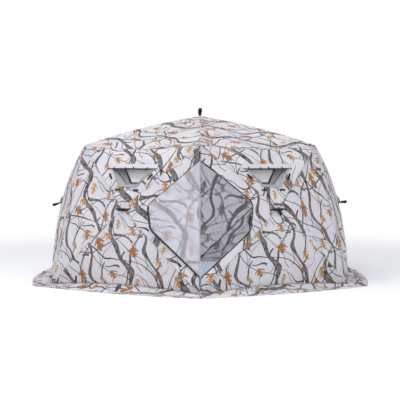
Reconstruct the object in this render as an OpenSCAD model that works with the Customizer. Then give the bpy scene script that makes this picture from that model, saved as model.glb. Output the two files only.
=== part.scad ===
// Six-sided pop-up ice fishing tent. Millimetres, +Z up, origin on the ground under the middle.
// Each wall is four fabric facets that four sprung rods push out at a hub; the roof has six.

/* [Shelter] */
// Distance from the middle to a bottom corner
base_r = 2050; // [1700:10:2400]
// Distance from the middle to an eave corner
eave_r = 1610; // [1300:10:1900]
// Height of the eave corners
eave_h = 1670; // [1500:10:1900]
// Height of the roof's peak
apex_h = 2045; // [1950:5:2300]
// Distance from the middle to a wall's popped-out peak
wall_peak_r = 1780; // [1680:10:1950]
// Height of a wall's popped-out peak
wall_peak_h = 940; // [800:10:1050]
// Height of the wall's hem at a corner
hem_h = 14; // [10:1:30]
// How far the hem lifts between two corners
hem_rise = 50; // [0:5:90]
// How far the eave sags between two corners
eave_sag = 48; // [0:2:90]
// Thickness of the fabric, with its seams
fabric_t = 4; // [2:0.5:8]

/* [Snow skirt] */
// How far the skirt's corner tips reach out past the bottom corners
skirt_reach = 240; // [200:10:450]
// How far the skirt's edge bulges out between two tips
skirt_belly = 110; // [0:10:200]
// Thickness of the skirt
skirt_t = 3; // [2:0.5:6]

/* [Rods] */
// Diameter of a rod
rod_d = 11; // [8:0.5:14]
// How far a wall rod bows out
wall_bow = 28; // [10:1:40]
// How far a roof rod bows up
roof_bow = 34; // [10:1:50]
// Room round a rod in its socket
rod_fit = 0.6; // [0.5:0.1:1.5]
// Outside diameter of a socket
socket_d = 18; // [16:0.5:24]
// Depth of a rod in its socket
socket_depth = 48; // [30:1:80]
// Length of a foot's socket from the foot's centre
foot_socket_l = 130; // [90:5:200]

/* [Hubs] */
// Diameter of a wall hub
wall_hub_d = 104; // [96:1:130]
// Diameter of the roof hub
roof_hub_d = 150; // [136:1:190]
// Height of a hub
hub_h = 26; // [24:1:34]
// Thickness of a hub's front plate
hub_plate_t = 5; // [4:0.5:8]
// Diameter of a hub's pivot pins
pin_d = 5; // [4:0.5:6]
// Diameter of the post that comes out through the fabric
post_d = 12; // [8:1:18]

/* [Corner fittings] */
// Diameter of the ball in a corner fitting
fitting_d = 36; // [32:1:46]
// How far an eave fitting lies behind its fabric corner
eave_back = 38; // [36:1:60]
// How far a foot lies inside its fabric corner
foot_back = 66; // [62:1:100]
// Height of a foot's centre
foot_h = 30; // [26:1:50]
// Diameter of a foot's plate
foot_plate_d = 84; // [60:1:90]
// Thickness of a foot's plate
foot_plate_t = 6; // [4:0.5:10]

/* [Door] */
// Top of the doorway, along the corner seam
door_top = 1520; // [1400:10:1560]
// Bottom of the doorway, along the corner seam
door_sill = 190; // [120:10:260]
// Upper outer corner, out from the seam
door_high_u = 610; // [520:10:630]
// Upper outer corner, up along the seam
door_high_v = 1068; // [1000:4:1100]
// Lower outer corner, out from the seam
door_low_u = 575; // [480:5:590]
// Lower outer corner, up along the seam
door_low_v = 752; // [740:4:840]
// Radius of the outer corners
door_round = 130; // [40:5:150]
// Thickness of the door flap
flap_t = 3; // [2:0.5:5]
// How far the flap's edge laps over the doorway's
flap_lap = 8; // [0:1:20]
// Angle between the flap and the fabric that it rests on
flap_rest_a = 5.4; // [5.2:0.1:9]
// Distance from the corner seam out to the flap's fold
welt_out = 12; // [11:0.5:18]
// Radius of the bead along the flap's fold
welt_r = 4; // [3:0.5:6]
// Width of the zip tape
zip_w = 22; // [14:1:40]
// Thickness of the zip tape
zip_t = 1.6; // [1:0.2:3]
// Width of a zip pull
pull_w = 14; // [8:1:20]
// Length of a zip pull
pull_l = 90; // [50:5:110]

/* [Windows] */
// Position of a window between hub (0) and eave (1)
window_s = 0.5; // [0.46:0.01:0.54]
// Width of a window at its top
window_top_w = 590; // [460:5:640]
// Width of a window at its bottom
window_bottom_w = 290; // [200:5:330]
// Height of a window along the fabric
window_h = 246; // [200:2:260]
// Width of the clear film at its top
film_top_w = 332; // [240:4:380]
// Width of the clear film at its bottom
film_bottom_w = 112; // [80:4:180]
// Height of the clear film
film_h = 172; // [120:2:200]
// Thickness of the clear film
film_t = 1.5; // [1:0.5:3]
// How far the film lies behind the fabric
film_back = 160; // [60:2:180]
// How far the film lies above the window's middle
film_up = 70; // [0:2:90]
// Thickness of the window's funnel
funnel_t = 3; // [2:0.5:5]
// Width of the rain visor
visor_w = 676; // [600:4:700]
// Height of the rain visor
visor_h = 74; // [50:2:90]
// Width of a tie tab
tab_w = 20; // [12:1:30]
// Length of a tie tab
tab_l = 74; // [50:2:90]

/* [Fittings] */
// Radius of a hub's hood
hood_r = 104; // [90:1:130]
// Depth of a hub's hood
hood_deep = 34; // [20:1:50]
// Width of a hub's pull strap
strap_w = 38; // [20:1:50]
// Length of a hub's pull strap
strap_l = 112; // [60:2:160]
// Height of the roof's strap loop
loop_h = 92; // [60:2:120]
// Width of the roof's strap loop
loop_w = 38; // [26:1:60]
// Width of the webbing that the loop is made of
loop_deep = 32; // [20:1:40]
// Turn of the loop away from the front
loop_turn_a = 50; // [0:5:90]
// Width of the storage pocket
pocket_w = 420; // [300:10:500]
// Height of the storage pocket
pocket_h = 236; // [180:4:260]
// Depth of the storage pocket
pocket_deep = 46; // [30:2:70]
// How far the storage pocket hangs below its wall's hub
pocket_drop = 300; // [260:5:330]

/* [Hidden] */
// Gap between two sewn panels
seam_gap = 0.6;
// Room between two pieces that touch
fit = 0.3;
// Rows and columns of a fabric panel
rows = 7;
cols = 6;
// How far a cutting shape reaches on each side of the fabric
cut_reach = 120;
// Facets of round parts
$fn = 32;
arc_fn = 360;

FRONT_RIGHT = 0;
RIGHT = 1;
BACK_RIGHT = 2;
BACK_LEFT = 3;
LEFT = 4;
FRONT_LEFT = 5;
WINDOW_WALLS = [FRONT_RIGHT, BACK_RIGHT, BACK_LEFT, FRONT_LEFT];
UP = [0, 0, 1];
NO_SAG = [0, 0, 0];

fabric_color = [0.84, 0.83, 0.86];
skirt_color = [0.78, 0.76, 0.78];
black = [0.08, 0.08, 0.09];
rod_color = [0.14, 0.14, 0.15];
film_color = [0.78, 0.82, 0.62];

// Vector helpers
function unit(v) = v / norm(v);
function mix(a, b, t) = a + (b - a) * t;
function polar(r, angle, z) = [r * cos(angle), r * sin(angle), z];
// The part of v that is square to the unit vector n
function square_to(v, n) = unit(v - n * (v * n));

// Corner j is at the left end of wall j, seen from outside
function corner_a(j) = -90 + 60 * j;
function wall_a(k) = -60 + 60 * k;
function base_corner(j) = polar(base_r, corner_a(j), hem_h);
function eave_corner(j) = polar(eave_r, corner_a(j), eave_h);
apex = [0, 0, apex_h];
wall_lean = atan2((base_r - eave_r) * cos(30), eave_h - hem_h);
function wall_peak(k) = polar(wall_peak_r, wall_a(k), wall_peak_h);
function wall_out(k) = polar(cos(wall_lean), wall_a(k), sin(wall_lean));
function wall_up(k) = polar(-sin(wall_lean), wall_a(k), cos(wall_lean));
function wall_side(k) = polar(1, wall_a(k) + 90, 0);

// A panel is [peak, first corner, second corner, sag of the far edge, bow of its two rods]
function top_panel(k) = [wall_peak(k), eave_corner(k + 1), eave_corner(k),
    -UP * eave_sag, wall_out(k) * wall_bow];
function base_panel(k) = [wall_peak(k), base_corner(k), base_corner(k + 1),
    UP * hem_rise, wall_out(k) * wall_bow];
function left_panel(k) = [wall_peak(k), eave_corner(k), base_corner(k),
    NO_SAG, wall_out(k) * wall_bow];
function right_panel(k) = [wall_peak(k), base_corner(k + 1), eave_corner(k + 1),
    NO_SAG, wall_out(k) * wall_bow];
function roof_panel(k) = [apex, eave_corner(k), eave_corner(k + 1),
    -UP * eave_sag, UP * roof_bow];

// A point of a panel: s runs from the peak to the far edge and t from the first corner
function rod_line(peak, corner, bow, s) = mix(peak, corner, s) + bow * 4 * s * (1 - s);
function panel_point(p, s, t) =
    mix(rod_line(p[0], p[1], p[4], s), rod_line(p[0], p[2], p[4], s), t)
    + p[3] * 4 * t * (1 - t) * s * s;
step = 0.01;
function along_s(p, s, t) = unit(panel_point(p, s + step, t) - panel_point(p, s - step, t));
function panel_out(p, s, t) = unit(cross(along_s(p, s, t),
    panel_point(p, s, t + step) - panel_point(p, s, t - step)));

// Inner face: the outer one drawn towards the middle of the ground
inner_scale = 1 - fabric_t / wall_peak_r;
function shell_thickness(p) = fabric_t * norm(p) / wall_peak_r;
// The fabric is open round a hub as far as this share of its facets
hub_hole_s = 0.052;

// Closed shell over a grid of points, thick towards the inner grid
module grid_shell(outer, inner, n, m) {
    count = (n + 1) * (m + 1);
    function at(i, j) = i * (m + 1) + j;
    faces = concat(
        [for (i = [0:n - 1], j = [0:m - 1]) [at(i, j), at(i, j + 1), at(i + 1, j + 1)]],
        [for (i = [0:n - 1], j = [0:m - 1]) [at(i, j), at(i + 1, j + 1), at(i + 1, j)]],
        [for (i = [0:n - 1], j = [0:m - 1])
            [at(i, j) + count, at(i + 1, j + 1) + count, at(i, j + 1) + count]],
        [for (i = [0:n - 1], j = [0:m - 1])
            [at(i, j) + count, at(i + 1, j) + count, at(i + 1, j + 1) + count]],
        [for (j = [0:m - 1])
            [at(0, j + 1), at(0, j), at(0, j) + count, at(0, j + 1) + count]],
        [for (j = [0:m - 1])
            [at(n, j), at(n, j + 1), at(n, j + 1) + count, at(n, j) + count]],
        [for (i = [0:n - 1])
            [at(i, 0), at(i + 1, 0), at(i + 1, 0) + count, at(i, 0) + count]],
        [for (i = [0:n - 1])
            [at(i + 1, m), at(i, m), at(i, m) + count, at(i + 1, m) + count]]);
    polyhedron(concat(outer, inner), faces, convexity = 6);
}

module fabric_panel(p) {
    width = norm(p[2] - p[1]);
    s_end = 1 - seam_gap / 2 / norm((p[1] + p[2]) / 2 - p[0]);
    outer = [for (i = [0:rows], j = [0:cols])
        let (s = mix(hub_hole_s, s_end, i / rows), edge = seam_gap / 2 / (s * width))
        panel_point(p, s, mix(edge, 1 - edge, j / cols))];
    grid_shell(outer, outer * inner_scale, rows, cols);
}

// Draws children in a frame with its origin at o and its axes along x, y and z
module in_frame(o, x, y, z) {
    multmatrix([[x[0], y[0], z[0], o[0]], [x[1], y[1], z[1], o[1]], [x[2], y[2], z[2], o[2]],
        [0, 0, 0, 1]])
        children();
}

// Draws children on a panel's outer face: x to the right, y up the slope and z out
module on_panel(p, s, t, lift) {
    z = panel_out(p, s, t);
    x = square_to(cross(UP, z), z);
    in_frame(panel_point(p, s, t) + z * lift, x, cross(z, x), z)
        children();
}

// Rods: a rod is the arc that bows out from the chord between two fitting centres
function arc_radius(a, b, bow) = (pow(norm(b - a) / 2, 2) + bow * bow) / (2 * bow);
function arc_half(a, b, bow) = asin(norm(b - a) / 2 / arc_radius(a, b, bow));
function leaves(a, b, out, bow) = let (y = unit(b - a), h = arc_half(a, b, bow))
    y * cos(h) + square_to(out, y) * sin(h);

module rod(a, b, out, bow, from_a, from_b, d = rod_d) {
    y = unit(b - a);
    x = square_to(out, y);
    r = arc_radius(a, b, bow);
    half = arc_half(a, b, bow);
    start = -half + from_a / r * 180 / PI;
    stop = half - from_b / r * 180 / PI;
    in_frame((a + b) / 2 + x * (bow - r), x, y, cross(x, y))
        rotate([0, 0, start])
            rotate_extrude(angle = stop - start, $fn = arc_fn)
                translate([r, 0]) circle(d = d, $fn = 24);
}

// A bore or a sleeve along a rod's own arc, over a length from a
module rod_bore(a, b, out, bow, from_a, length, d = rod_d + 2 * rod_fit) {
    arc = 2 * arc_half(a, b, bow) * PI / 180 * arc_radius(a, b, bow);
    rod(a, b, out, bow, from_a - fit, arc - from_a - length, d);
}

// Draws children with +Z along the rod as it leaves a, and +X near out
module along_rod(a, b, out, bow) {
    z = leaves(a, b, out, bow);
    x = square_to(out, z);
    in_frame(a, x, cross(z, x), z)
        children();
}

// Hubs lie behind the fabric, their plate this far from it
hub_room = 1.2;
wall_slope = (wall_bulge() - 4 * wall_bow) / ((eave_corner(0) - wall_peak(0)) * wall_up(0));
roof_slope = (apex_h - eave_h - 4 * roof_bow) / (eave_r * cos(30));
wall_plate_back = shell_thickness(wall_peak(0)) + wall_slope * wall_hub_d / 2 + hub_room;
roof_plate_back = shell_thickness(apex) + roof_slope * roof_hub_d / 2 + hub_room;
function wall_bulge() = (wall_peak(0) - base_corner(0)) * wall_out(0);
// The rods' lines meet this far behind a hub's plate
hub_axis_back = hub_h / 2 + hub_plate_t / 2;
function wall_hub_centre(k) = wall_peak(k) - wall_out(k) * (wall_plate_back + hub_axis_back);
roof_hub_centre = apex - UP * (roof_plate_back + hub_axis_back);

function eave_centre(j) = eave_corner(j) - unit(eave_corner(j)) * eave_back;
function foot_centre(j) = polar(base_r - foot_back, corner_a(j), foot_h);
// The four ends of a wall's rods
function wall_rod_ends(k) = [eave_centre(k), eave_centre(k + 1), foot_centre(k + 1),
    foot_centre(k)];

// Ferrules turn on pins in the hub's slots
tang_w = 9;
tang_h = 11;
slot_room = 0.5;
pin_room = 0.4;
ferrule_start = 4;
socket_floor = 10;
function pin_at(hub_d) = hub_d / 2 - 14;
function ferrule_from(hub_d) = hub_d / 2 + ferrule_start;
function rod_from(hub_d) = ferrule_from(hub_d) + socket_floor;

// Slot and ferrule are drawn along +Z, from the hub's centre
module hub_slot(hub_d, deep) {
    translate([-2 * deep, -tang_w / 2 - slot_room, pin_at(hub_d) - tang_h / 2 - 1.5])
        cube([2 * deep + tang_h / 2 + 1, tang_w + 2 * slot_room, hub_d]);
}

module hub_pin(hub_d) {
    translate([0, 0, pin_at(hub_d)]) rotate([90, 0, 0])
        cylinder(d = pin_d, h = tang_w + 4, center = true);
}

module ferrule(hub_d) {
    difference() {
        union() {
            translate([-tang_h / 2, -tang_w / 2, pin_at(hub_d)])
                cube([tang_h, tang_w, ferrule_from(hub_d) + 3 - pin_at(hub_d)]);
            translate([0, 0, pin_at(hub_d)]) rotate([90, 0, 0])
                cylinder(d = tang_h, h = tang_w, center = true);
            translate([0, 0, ferrule_from(hub_d)])
                cylinder(d = socket_d, h = socket_floor + socket_depth);
        }
        translate([0, 0, pin_at(hub_d)]) rotate([90, 0, 0])
            cylinder(d = pin_d + pin_room, h = tang_w + 2, center = true);
    }
}

module bored_ferrule(centre, end, out, bow, hub_d) {
    difference() {
        along_rod(centre, end, out, bow) ferrule(hub_d);
        rod_bore(centre, end, out, bow, rod_from(hub_d), socket_depth + 5);
    }
}

// Hub with its plate towards out and one slot for each rod's end. It reaches back past its
// pins by a pin's diameter.
module hub(centre, out, ends, bow, hub_d, post_l) {
    front = hub_axis_back;
    pin_drop = max([for (end = ends) -leaves(centre, end, out, bow) * out]) * pin_at(hub_d);
    deep = max(hub_h, front + pin_drop + pin_d);
    side = square_to(cross(out, [0.3, 0.5, 0.8]), out);
    difference() {
        in_frame(centre, side, cross(out, side), out) {
            translate([0, 0, front - deep]) cylinder(d = hub_d, h = deep);
            cylinder(d = post_d, h = front + post_l);
            translate([0, 0, front + post_l]) cylinder(d = post_d * 2, h = 4);
        }
        for (end = ends) along_rod(centre, end, out, bow) hub_slot(hub_d, deep);
    }
    for (end = ends) along_rod(centre, end, out, bow) hub_pin(hub_d);
}

// The post reaches past the fabric by this much, under its button
post_past = 6;
module wall_hub(k) {
    hub(wall_hub_centre(k), wall_out(k), wall_rod_ends(k), wall_bow, wall_hub_d,
        wall_plate_back + post_past);
}

module wall_hubs() {
    color(black) for (k = [0:5]) wall_hub(k);
}

module wall_ferrules() {
    color(black) for (k = [0:5], end = wall_rod_ends(k))
        bored_ferrule(wall_hub_centre(k), end, wall_out(k), wall_bow, wall_hub_d);
}

// A rod stops this far from the centre of the corner fitting that it stands in
fitting_seat = fitting_d / 2 + 2;
foot_seat = fitting_d / 2 + 26;
module wall_rods(k) {
    ends = wall_rod_ends(k);
    color(rod_color) for (i = [0:3])
        rod(wall_hub_centre(k), ends[i], wall_out(k), wall_bow, rod_from(wall_hub_d),
            i < 2 ? fitting_seat : foot_seat);
}

module roof_hub() {
    color(black) hub(roof_hub_centre, UP, [for (j = [0:5]) eave_centre(j)], roof_bow,
        roof_hub_d, roof_plate_back + post_past);
}

module roof_ferrules() {
    color(black) for (j = [0:5])
        bored_ferrule(roof_hub_centre, eave_centre(j), UP, roof_bow, roof_hub_d);
}

module roof_rods() {
    color(rod_color) for (j = [0:5])
        rod(roof_hub_centre, eave_centre(j), UP, roof_bow, rod_from(roof_hub_d), fitting_seat);
}

// A corner socket, drawn along +Z from the fitting's centre
module socket(length) {
    cylinder(d = socket_d, h = length);
}

// Drum that an eave fitting's sockets run into, its axis towards the fabric corner
module eave_drum(j) {
    z = unit(eave_corner(j));
    x = square_to(UP, z);
    in_frame(eave_centre(j), x, cross(z, x), z)
        cylinder(d = fitting_d, h = fitting_d * 0.7, center = true);
}

module eave_fitting(j) {
    length = fitting_seat + socket_depth;
    difference() {
        union() {
            eave_drum(j);
            eave_rods(j) socket(length);
        }
        eave_bores(j, length);
    }
}

// Draws children along each rod that ends in an eave fitting
module eave_rods(j) {
    along_rod(eave_centre(j), wall_hub_centre(j), wall_out(j), wall_bow) children();
    along_rod(eave_centre(j), wall_hub_centre(j - 1), wall_out(j - 1), wall_bow) children();
    along_rod(eave_centre(j), roof_hub_centre, UP, roof_bow) children();
}

module eave_bores(j, length) {
    rod_bore(eave_centre(j), wall_hub_centre(j), wall_out(j), wall_bow, fitting_seat, length);
    rod_bore(eave_centre(j), wall_hub_centre(j - 1), wall_out(j - 1), wall_bow, fitting_seat,
        length);
    rod_bore(eave_centre(j), roof_hub_centre, UP, roof_bow, fitting_seat, length);
}

module eave_fittings() {
    color(black) for (j = [0:5]) eave_fitting(j);
}

// A foot's socket or bore follows each rod that stands in it
module foot_rods(j, from, length, d) {
    for (k = [j, j - 1])
        rod_bore(foot_centre(j), wall_hub_centre(k), wall_out(k), wall_bow, from, length, d);
}

module corner_foot(j) {
    difference() {
        union() {
            translate(foot_centre(j)) sphere(d = fitting_d);
            translate(foot_centre(j) - UP * foot_h) {
                cylinder(d = foot_plate_d, h = foot_plate_t);
                cylinder(d = fitting_d * 0.8, h = foot_h);
            }
            foot_rods(j, 0, foot_socket_l, socket_d);
        }
        foot_rods(j, foot_seat, foot_socket_l, rod_d + 2 * rod_fit);
    }
}

module corner_feet() {
    color(black) for (j = [0:5]) corner_foot(j);
}

// Walls
module wall_panels(k) {
    color(fabric_color) {
        difference() {
            fabric_panel(top_panel(k));
            if (k == BACK_RIGHT || k == BACK_LEFT) window_cut(k);
        }
        fabric_panel(base_panel(k));
        fabric_panel(left_panel(k));
        fabric_panel(right_panel(k));
    }
}

module wall_top(k) {
    color(fabric_color) difference() {
        fabric_panel(top_panel(k));
        window_cut(k);
    }
}

module wall_facet(p) {
    color(fabric_color) fabric_panel(p);
}

module roof(k) {
    color(fabric_color) fabric_panel(roof_panel(k));
}

// Skirt: slopes from the hem down to the ground and lies flat to its edge
skirt_slope_share = 0.42;
skirt_tip_r = base_r + skirt_reach;
function skirt_inner(k, t) = let (p = panel_point(base_panel(k), 1, t))
    p + polar(seam_gap, wall_a(k), 0);
function skirt_outer(k, t) =
    mix(polar(skirt_tip_r, corner_a(k), skirt_t), polar(skirt_tip_r, corner_a(k + 1), skirt_t), t)
    + polar(skirt_belly * (1 - pow(2 * t - 1, 2)), wall_a(k), 0);
function skirt_height(k, t, w) = let (top = max(skirt_inner(k, t)[2], skirt_t))
    w < skirt_slope_share ? mix(top, skirt_t, sin(w / skirt_slope_share * 90)) : skirt_t;
function skirt_point(k, t, w) = let (p = mix(skirt_inner(k, t), skirt_outer(k, t), w))
    [p[0], p[1], skirt_height(k, t, w)];

module skirt_panel(k) {
    steps = [0, 0.14, 0.28, skirt_slope_share, 0.7, 1];
    last = len(steps) - 1;
    across = 10;
    edge = seam_gap / base_r;
    top = [for (w = steps, j = [0:across]) skirt_point(k, mix(1 - edge, edge, j / across), w)];
    grid_shell(top, [for (p = top) p - UP * skirt_t], last, across);
}

module snow_skirt() {
    color(skirt_color) for (k = [0:5]) skirt_panel(k);
}

// Windows
module on_window(k) {
    p = top_panel(k);
    on_panel(p, window_s, 0.5, 0) children();
}

function trapezoid(top_w, bottom_w, h, grow) = let (y = h / 2 + grow)
    [[-bottom_w / 2 - grow, -y], [bottom_w / 2 + grow, -y], [top_w / 2 + grow, y],
        [-top_w / 2 - grow, y]];

// Height of the funnel's rim in front of the fabric
rim_out = 10;
module window_cut(k) {
    on_window(k) translate([0, 0, -cut_reach / 2]) linear_extrude(cut_reach)
        polygon(trapezoid(window_top_w, window_bottom_w, window_h, funnel_t + 2 * fit));
}

function at_depth(outline, up, z) = [for (p = outline) [p[0], p[1] + up, z]];

// Straight collar through the fabric, then four sloping sides back to the film
collar_back = 14;
module funnel() {
    loops = [
        at_depth(trapezoid(window_top_w, window_bottom_w, window_h, funnel_t), 0, rim_out),
        at_depth(trapezoid(window_top_w, window_bottom_w, window_h, funnel_t), 0, -collar_back),
        at_depth(trapezoid(film_top_w, film_bottom_w, film_h, funnel_t), film_up, -film_back),
        at_depth(trapezoid(film_top_w, film_bottom_w, film_h, 0), film_up, -film_back),
        at_depth(trapezoid(window_top_w, window_bottom_w, window_h, 0), 0, -collar_back),
        at_depth(trapezoid(window_top_w, window_bottom_w, window_h, 0), 0, rim_out)];
    n = len(loops);
    points = [for (loop = loops, p = loop) p];
    faces = [for (i = [0:n - 1], j = [0:3])
        [i * 4 + j, (i + 1) % n * 4 + j, (i + 1) % n * 4 + (j + 1) % 4, i * 4 + (j + 1) % 4]];
    polyhedron(points, [for (f = faces, half = [0, 1])
        half == 0 ? [f[0], f[2], f[1]] : [f[0], f[3], f[2]]], convexity = 8);
}

module window_funnels() {
    color([0.6, 0.6, 0.62]) for (k = WINDOW_WALLS) on_window(k) funnel();
}

module window_films() {
    color(film_color) for (k = WINDOW_WALLS) on_window(k)
        translate([0, film_up, -film_back - film_t - fit]) linear_extrude(film_t)
            polygon(trapezoid(film_top_w, film_bottom_w, film_h, funnel_t));
}

visor_t = 3;
visor_tilt = 8.1;
// The visor's lower edge passes over the funnel's rim
visor_lift = rim_out + fit + 2 * funnel_t * sin(visor_tilt);
module window_visors() {
    color([0.92, 0.92, 0.94]) for (k = WINDOW_WALLS) on_window(k)
        translate([0, window_h / 2 - funnel_t, visor_lift]) rotate([-visor_tilt, 0, 0])
            translate([-visor_w / 2, 0, 0]) cube([visor_w, visor_h, visor_t]);
}

// Ties sewn beside and below a window: place across and up in window sizes, and turn
tab_t = 2;
tab_lift = 0.45;
tab_places = [[-0.64, 0, 0], [0.64, 0, 28], [-0.29, -0.72, 90], [0.29, -0.72, 90]];
module window_tabs() {
    color(black) for (k = WINDOW_WALLS, place = tab_places)
        window_tab(k, place[0] * (window_top_w + window_bottom_w) / 2, place[1] * window_h,
            place[2]);
}

// x and y are measured from the window's middle, along and up the fabric
module window_tab(k, x, y, turn) {
    p = top_panel(k);
    slope = norm((p[1] + p[2]) / 2 - p[0]);
    s = window_s + y / slope;
    on_panel(p, s, 0.5 - x / (s * norm(p[2] - p[1])), tab_lift)
        rotate([0, 0, turn]) translate([-tab_w / 2, -tab_l / 2, 0]) cube([tab_w, tab_l, tab_t]);
}

// Hoods and straps at the hubs
function hood_sphere_r() = (hood_r * hood_r + hood_deep * hood_deep) / (2 * hood_deep);
hood_t = 3;
module hub_hood(k) {
    s = hood_r / norm(eave_corner(k) - wall_peak(k));
    ridge = wall_bulge() * s - 4 * wall_bow * s * (1 - s);
    r = hood_sphere_r();
    up = wall_up(k);
    in_frame(wall_peak(k) - wall_out(k) * (ridge - 2 * fit), cross(up, wall_out(k)), up,
            wall_out(k))
        intersection() {
            difference() {
                translate([0, 0, hood_deep - r]) sphere(r = r, $fn = 96);
                translate([0, 0, hood_deep - r]) sphere(r = r - hood_t, $fn = 96);
            }
            translate([-hood_r, 0, 0]) cube([2 * hood_r, hood_r, hood_deep + 1]);
        }
}

module hub_hoods() {
    color(fabric_color) for (k = [0:5]) hub_hood(k);
}

strap_t = 2;
strap_drop_a = 42;
module hub_strap(k) {
    hole_d = post_d + 2 * fit;
    in_frame(wall_peak(k) + wall_out(k) * (post_past - fit - strap_t), wall_side(k),
            wall_up(k), wall_out(k))
        difference() {
            union() {
                translate([-strap_w / 2, -strap_w * 0.6, 0]) cube([strap_w, strap_w, strap_t]);
                translate([-strap_w / 2, -strap_w * 0.6, 0]) rotate([-strap_drop_a, 0, 0])
                    translate([0, -strap_l, 0]) cube([strap_w, strap_l + 1, strap_t]);
            }
            translate([0, 0, -1]) cylinder(d = hole_d, h = strap_t + 2);
        }
}

module hub_straps() {
    color(black) for (k = [0:5]) hub_strap(k);
}

// Cap over the opening at the roof's peak
cap_r = 100;
cap_t = 3;
module roof_cap() {
    ridge = (apex_h - eave_h - 4 * roof_bow * (1 - cap_r / eave_r)) / eave_r;
    hole_r = post_d / 2 + fit;
    color(fabric_color) translate(apex + UP * 2 * fit) rotate_extrude($fn = 96)
        polygon([[hole_r, -ridge * hole_r], [cap_r, -ridge * cap_r],
            [cap_r, cap_t - ridge * cap_r], [hole_r, cap_t - ridge * hole_r]]);
}

// Webbing loop that stands on the roof hub's post
module roof_strap() {
    top = apex_h + post_past + 4 + fit;
    color(black) translate([0, 0, top]) rotate([90, 0, loop_turn_a])
        translate([0, 0, -loop_deep / 2]) linear_extrude(loop_deep)
            difference() {
                loop_outline(0);
                loop_outline(2.5);
            }
}

module loop_outline(inset) {
    r = loop_w / 2;
    translate([0, loop_h - r]) circle(r = r - inset, $fn = 48);
    polygon([[-r * 0.4 + inset * 0.5, inset], [r * 0.4 - inset * 0.5, inset],
        [r - inset, loop_h - r], [-r + inset, loop_h - r]]);
}

// Pocket on the inner face of the back right wall, open at its top
pocket_cloth = 3;
module storage_pocket() {
    p = base_panel(BACK_RIGHT);
    run = norm((p[1] + p[2]) / 2 - p[0]);
    s = (pocket_drop + pocket_h / 2) / run;
    curve = 4 * wall_bow * pow(pocket_h / 2 / run, 2);
    back = shell_thickness(panel_point(p, s, 0.5)) + curve + 2 * fit;
    color(black) on_panel(p, s, 0.5, -back)
        translate([-pocket_w / 2, -pocket_h / 2, -pocket_deep]) difference() {
            cube([pocket_w, pocket_h, pocket_deep]);
            translate([pocket_cloth, pocket_cloth, pocket_cloth])
                cube([pocket_w - 2 * pocket_cloth, pocket_h, pocket_deep - 2 * pocket_cloth]);
        }
}

// Door: u runs from the front corner seam towards the wall's peak, v up along the seam
door_wall = left_panel(FRONT_RIGHT);
seam_foot = base_corner(0);
seam_l = norm(eave_corner(0) - base_corner(0));
seam_up = unit(eave_corner(0) - base_corner(0));
door_out = unit(cross(door_wall[1] - door_wall[0], door_wall[2] - door_wall[0]));
door_across = cross(seam_up, door_out);
peak_u = (door_wall[0] - seam_foot) * door_across;
peak_v = (door_wall[0] - seam_foot) * seam_up;

// A point of the curved door wall at u and v
function door_s(u) = 1 - u / peak_u;
function door_t(u, v) = (peak_v * (1 - door_s(u)) + seam_l * door_s(u) - v)
    / (door_s(u) * seam_l);
function door_point(uv) = panel_point(door_wall, door_s(uv[0]), door_t(uv[0], uv[1]));

// Points of a corner at b rounded by radius r, between its neighbours a and c
function rounded(a, b, c, r, n) = let (p = unit(a - b), q = unit(c - b),
        half = acos(p * q) / 2, centre = b + unit(p + q) * r / sin(half),
        first = b + p * r / tan(half) - centre, turn = 180 - 2 * half,
        way = p[0] * q[1] - p[1] * q[0] > 0 ? -1 : 1)
    [for (i = [0:n]) let (angle = way * turn * i / n)
        centre + [first[0] * cos(angle) - first[1] * sin(angle),
            first[0] * sin(angle) + first[1] * cos(angle)]];

// The doorway's edge from its top, round its outer corners to its sill, grown by a margin.
// Each straight run is cut into as many steps as are asked for.
function door_edge(grow, steps = 1) = let (top = [0, door_top + grow * 1.25],
        high = [door_high_u + grow, door_high_v + grow * 0.45],
        low = [door_low_u + grow, door_low_v - grow * 0.6],
        sill = [0, door_sill - grow * 1.25],
        high_arc = rounded(top, high, low, door_round, 8),
        low_arc = rounded(high, low, sill, door_round, 8))
    concat([for (i = [0:steps - 1]) mix(top, high_arc[0], i / steps)], high_arc, low_arc,
        [for (i = [1:steps]) mix(low_arc[8], sill, i / steps)]);

module in_door_frame() {
    in_frame(seam_foot, door_across, seam_up, door_out) children();
}

module doorway_cut() {
    edge = door_edge(0);
    in_door_frame() translate([0, 0, -cut_reach]) linear_extrude(2 * cut_reach)
        polygon(concat([[-30, door_top + 22]], edge, [[-30, door_sill - 25]]));
}

// The surround is split where the doorway's outer edge is nearest the wall's peak
module door_surround(upper) {
    split_u = (door_high_u + door_low_u) / 2 - 60;
    split_v = (door_high_v + door_low_v) / 2;
    rise = (peak_v - split_v) / (peak_u - split_u);
    far_u = peak_u + 100;
    far_v = split_v + rise * (far_u - split_u);
    side = upper ? 1 : -1;
    limit = upper ? seam_l + 100 : -100;
    color(fabric_color) difference() {
        intersection() {
            fabric_panel(door_wall);
            in_door_frame() translate([0, 0, -cut_reach]) linear_extrude(2 * cut_reach)
                polygon([[-100, split_v + side * fit], [split_u, split_v + side * fit],
                    [far_u, far_v + side * fit], [far_u, limit], [-100, limit]]);
        }
        doorway_cut();
    }
}

// Zip tape on the fabric, along the doorway's edge
zip_lift = 0.5;
zip_from_seam = 6;
// The tape is laid over the curved fabric in this many steps a side
zip_steps = 8;
module zip_track() {
    inner = door_edge(2, zip_steps);
    outer = door_edge(2 + zip_w, zip_steps);
    n = len(inner) - 1;
    bottom = [for (edge = [outer, inner], uv = edge)
        door_point([max(uv[0], zip_from_seam), uv[1]]) + door_out * zip_lift];
    color(black) grid_shell([for (p = bottom) p + door_out * zip_t], bottom, 1, n);
}

// The flap folds about a bead that stands on the corner seam
seam_out = square_to([0, -1, 0], seam_up);
facet_a = acos(door_across * seam_out);
fold_a = facet_a - flap_rest_a;
fold_foot = seam_foot + seam_out * welt_out;
flap_across = seam_out * cos(fold_a) + [-1, 0, 0] * sin(fold_a);

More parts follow.
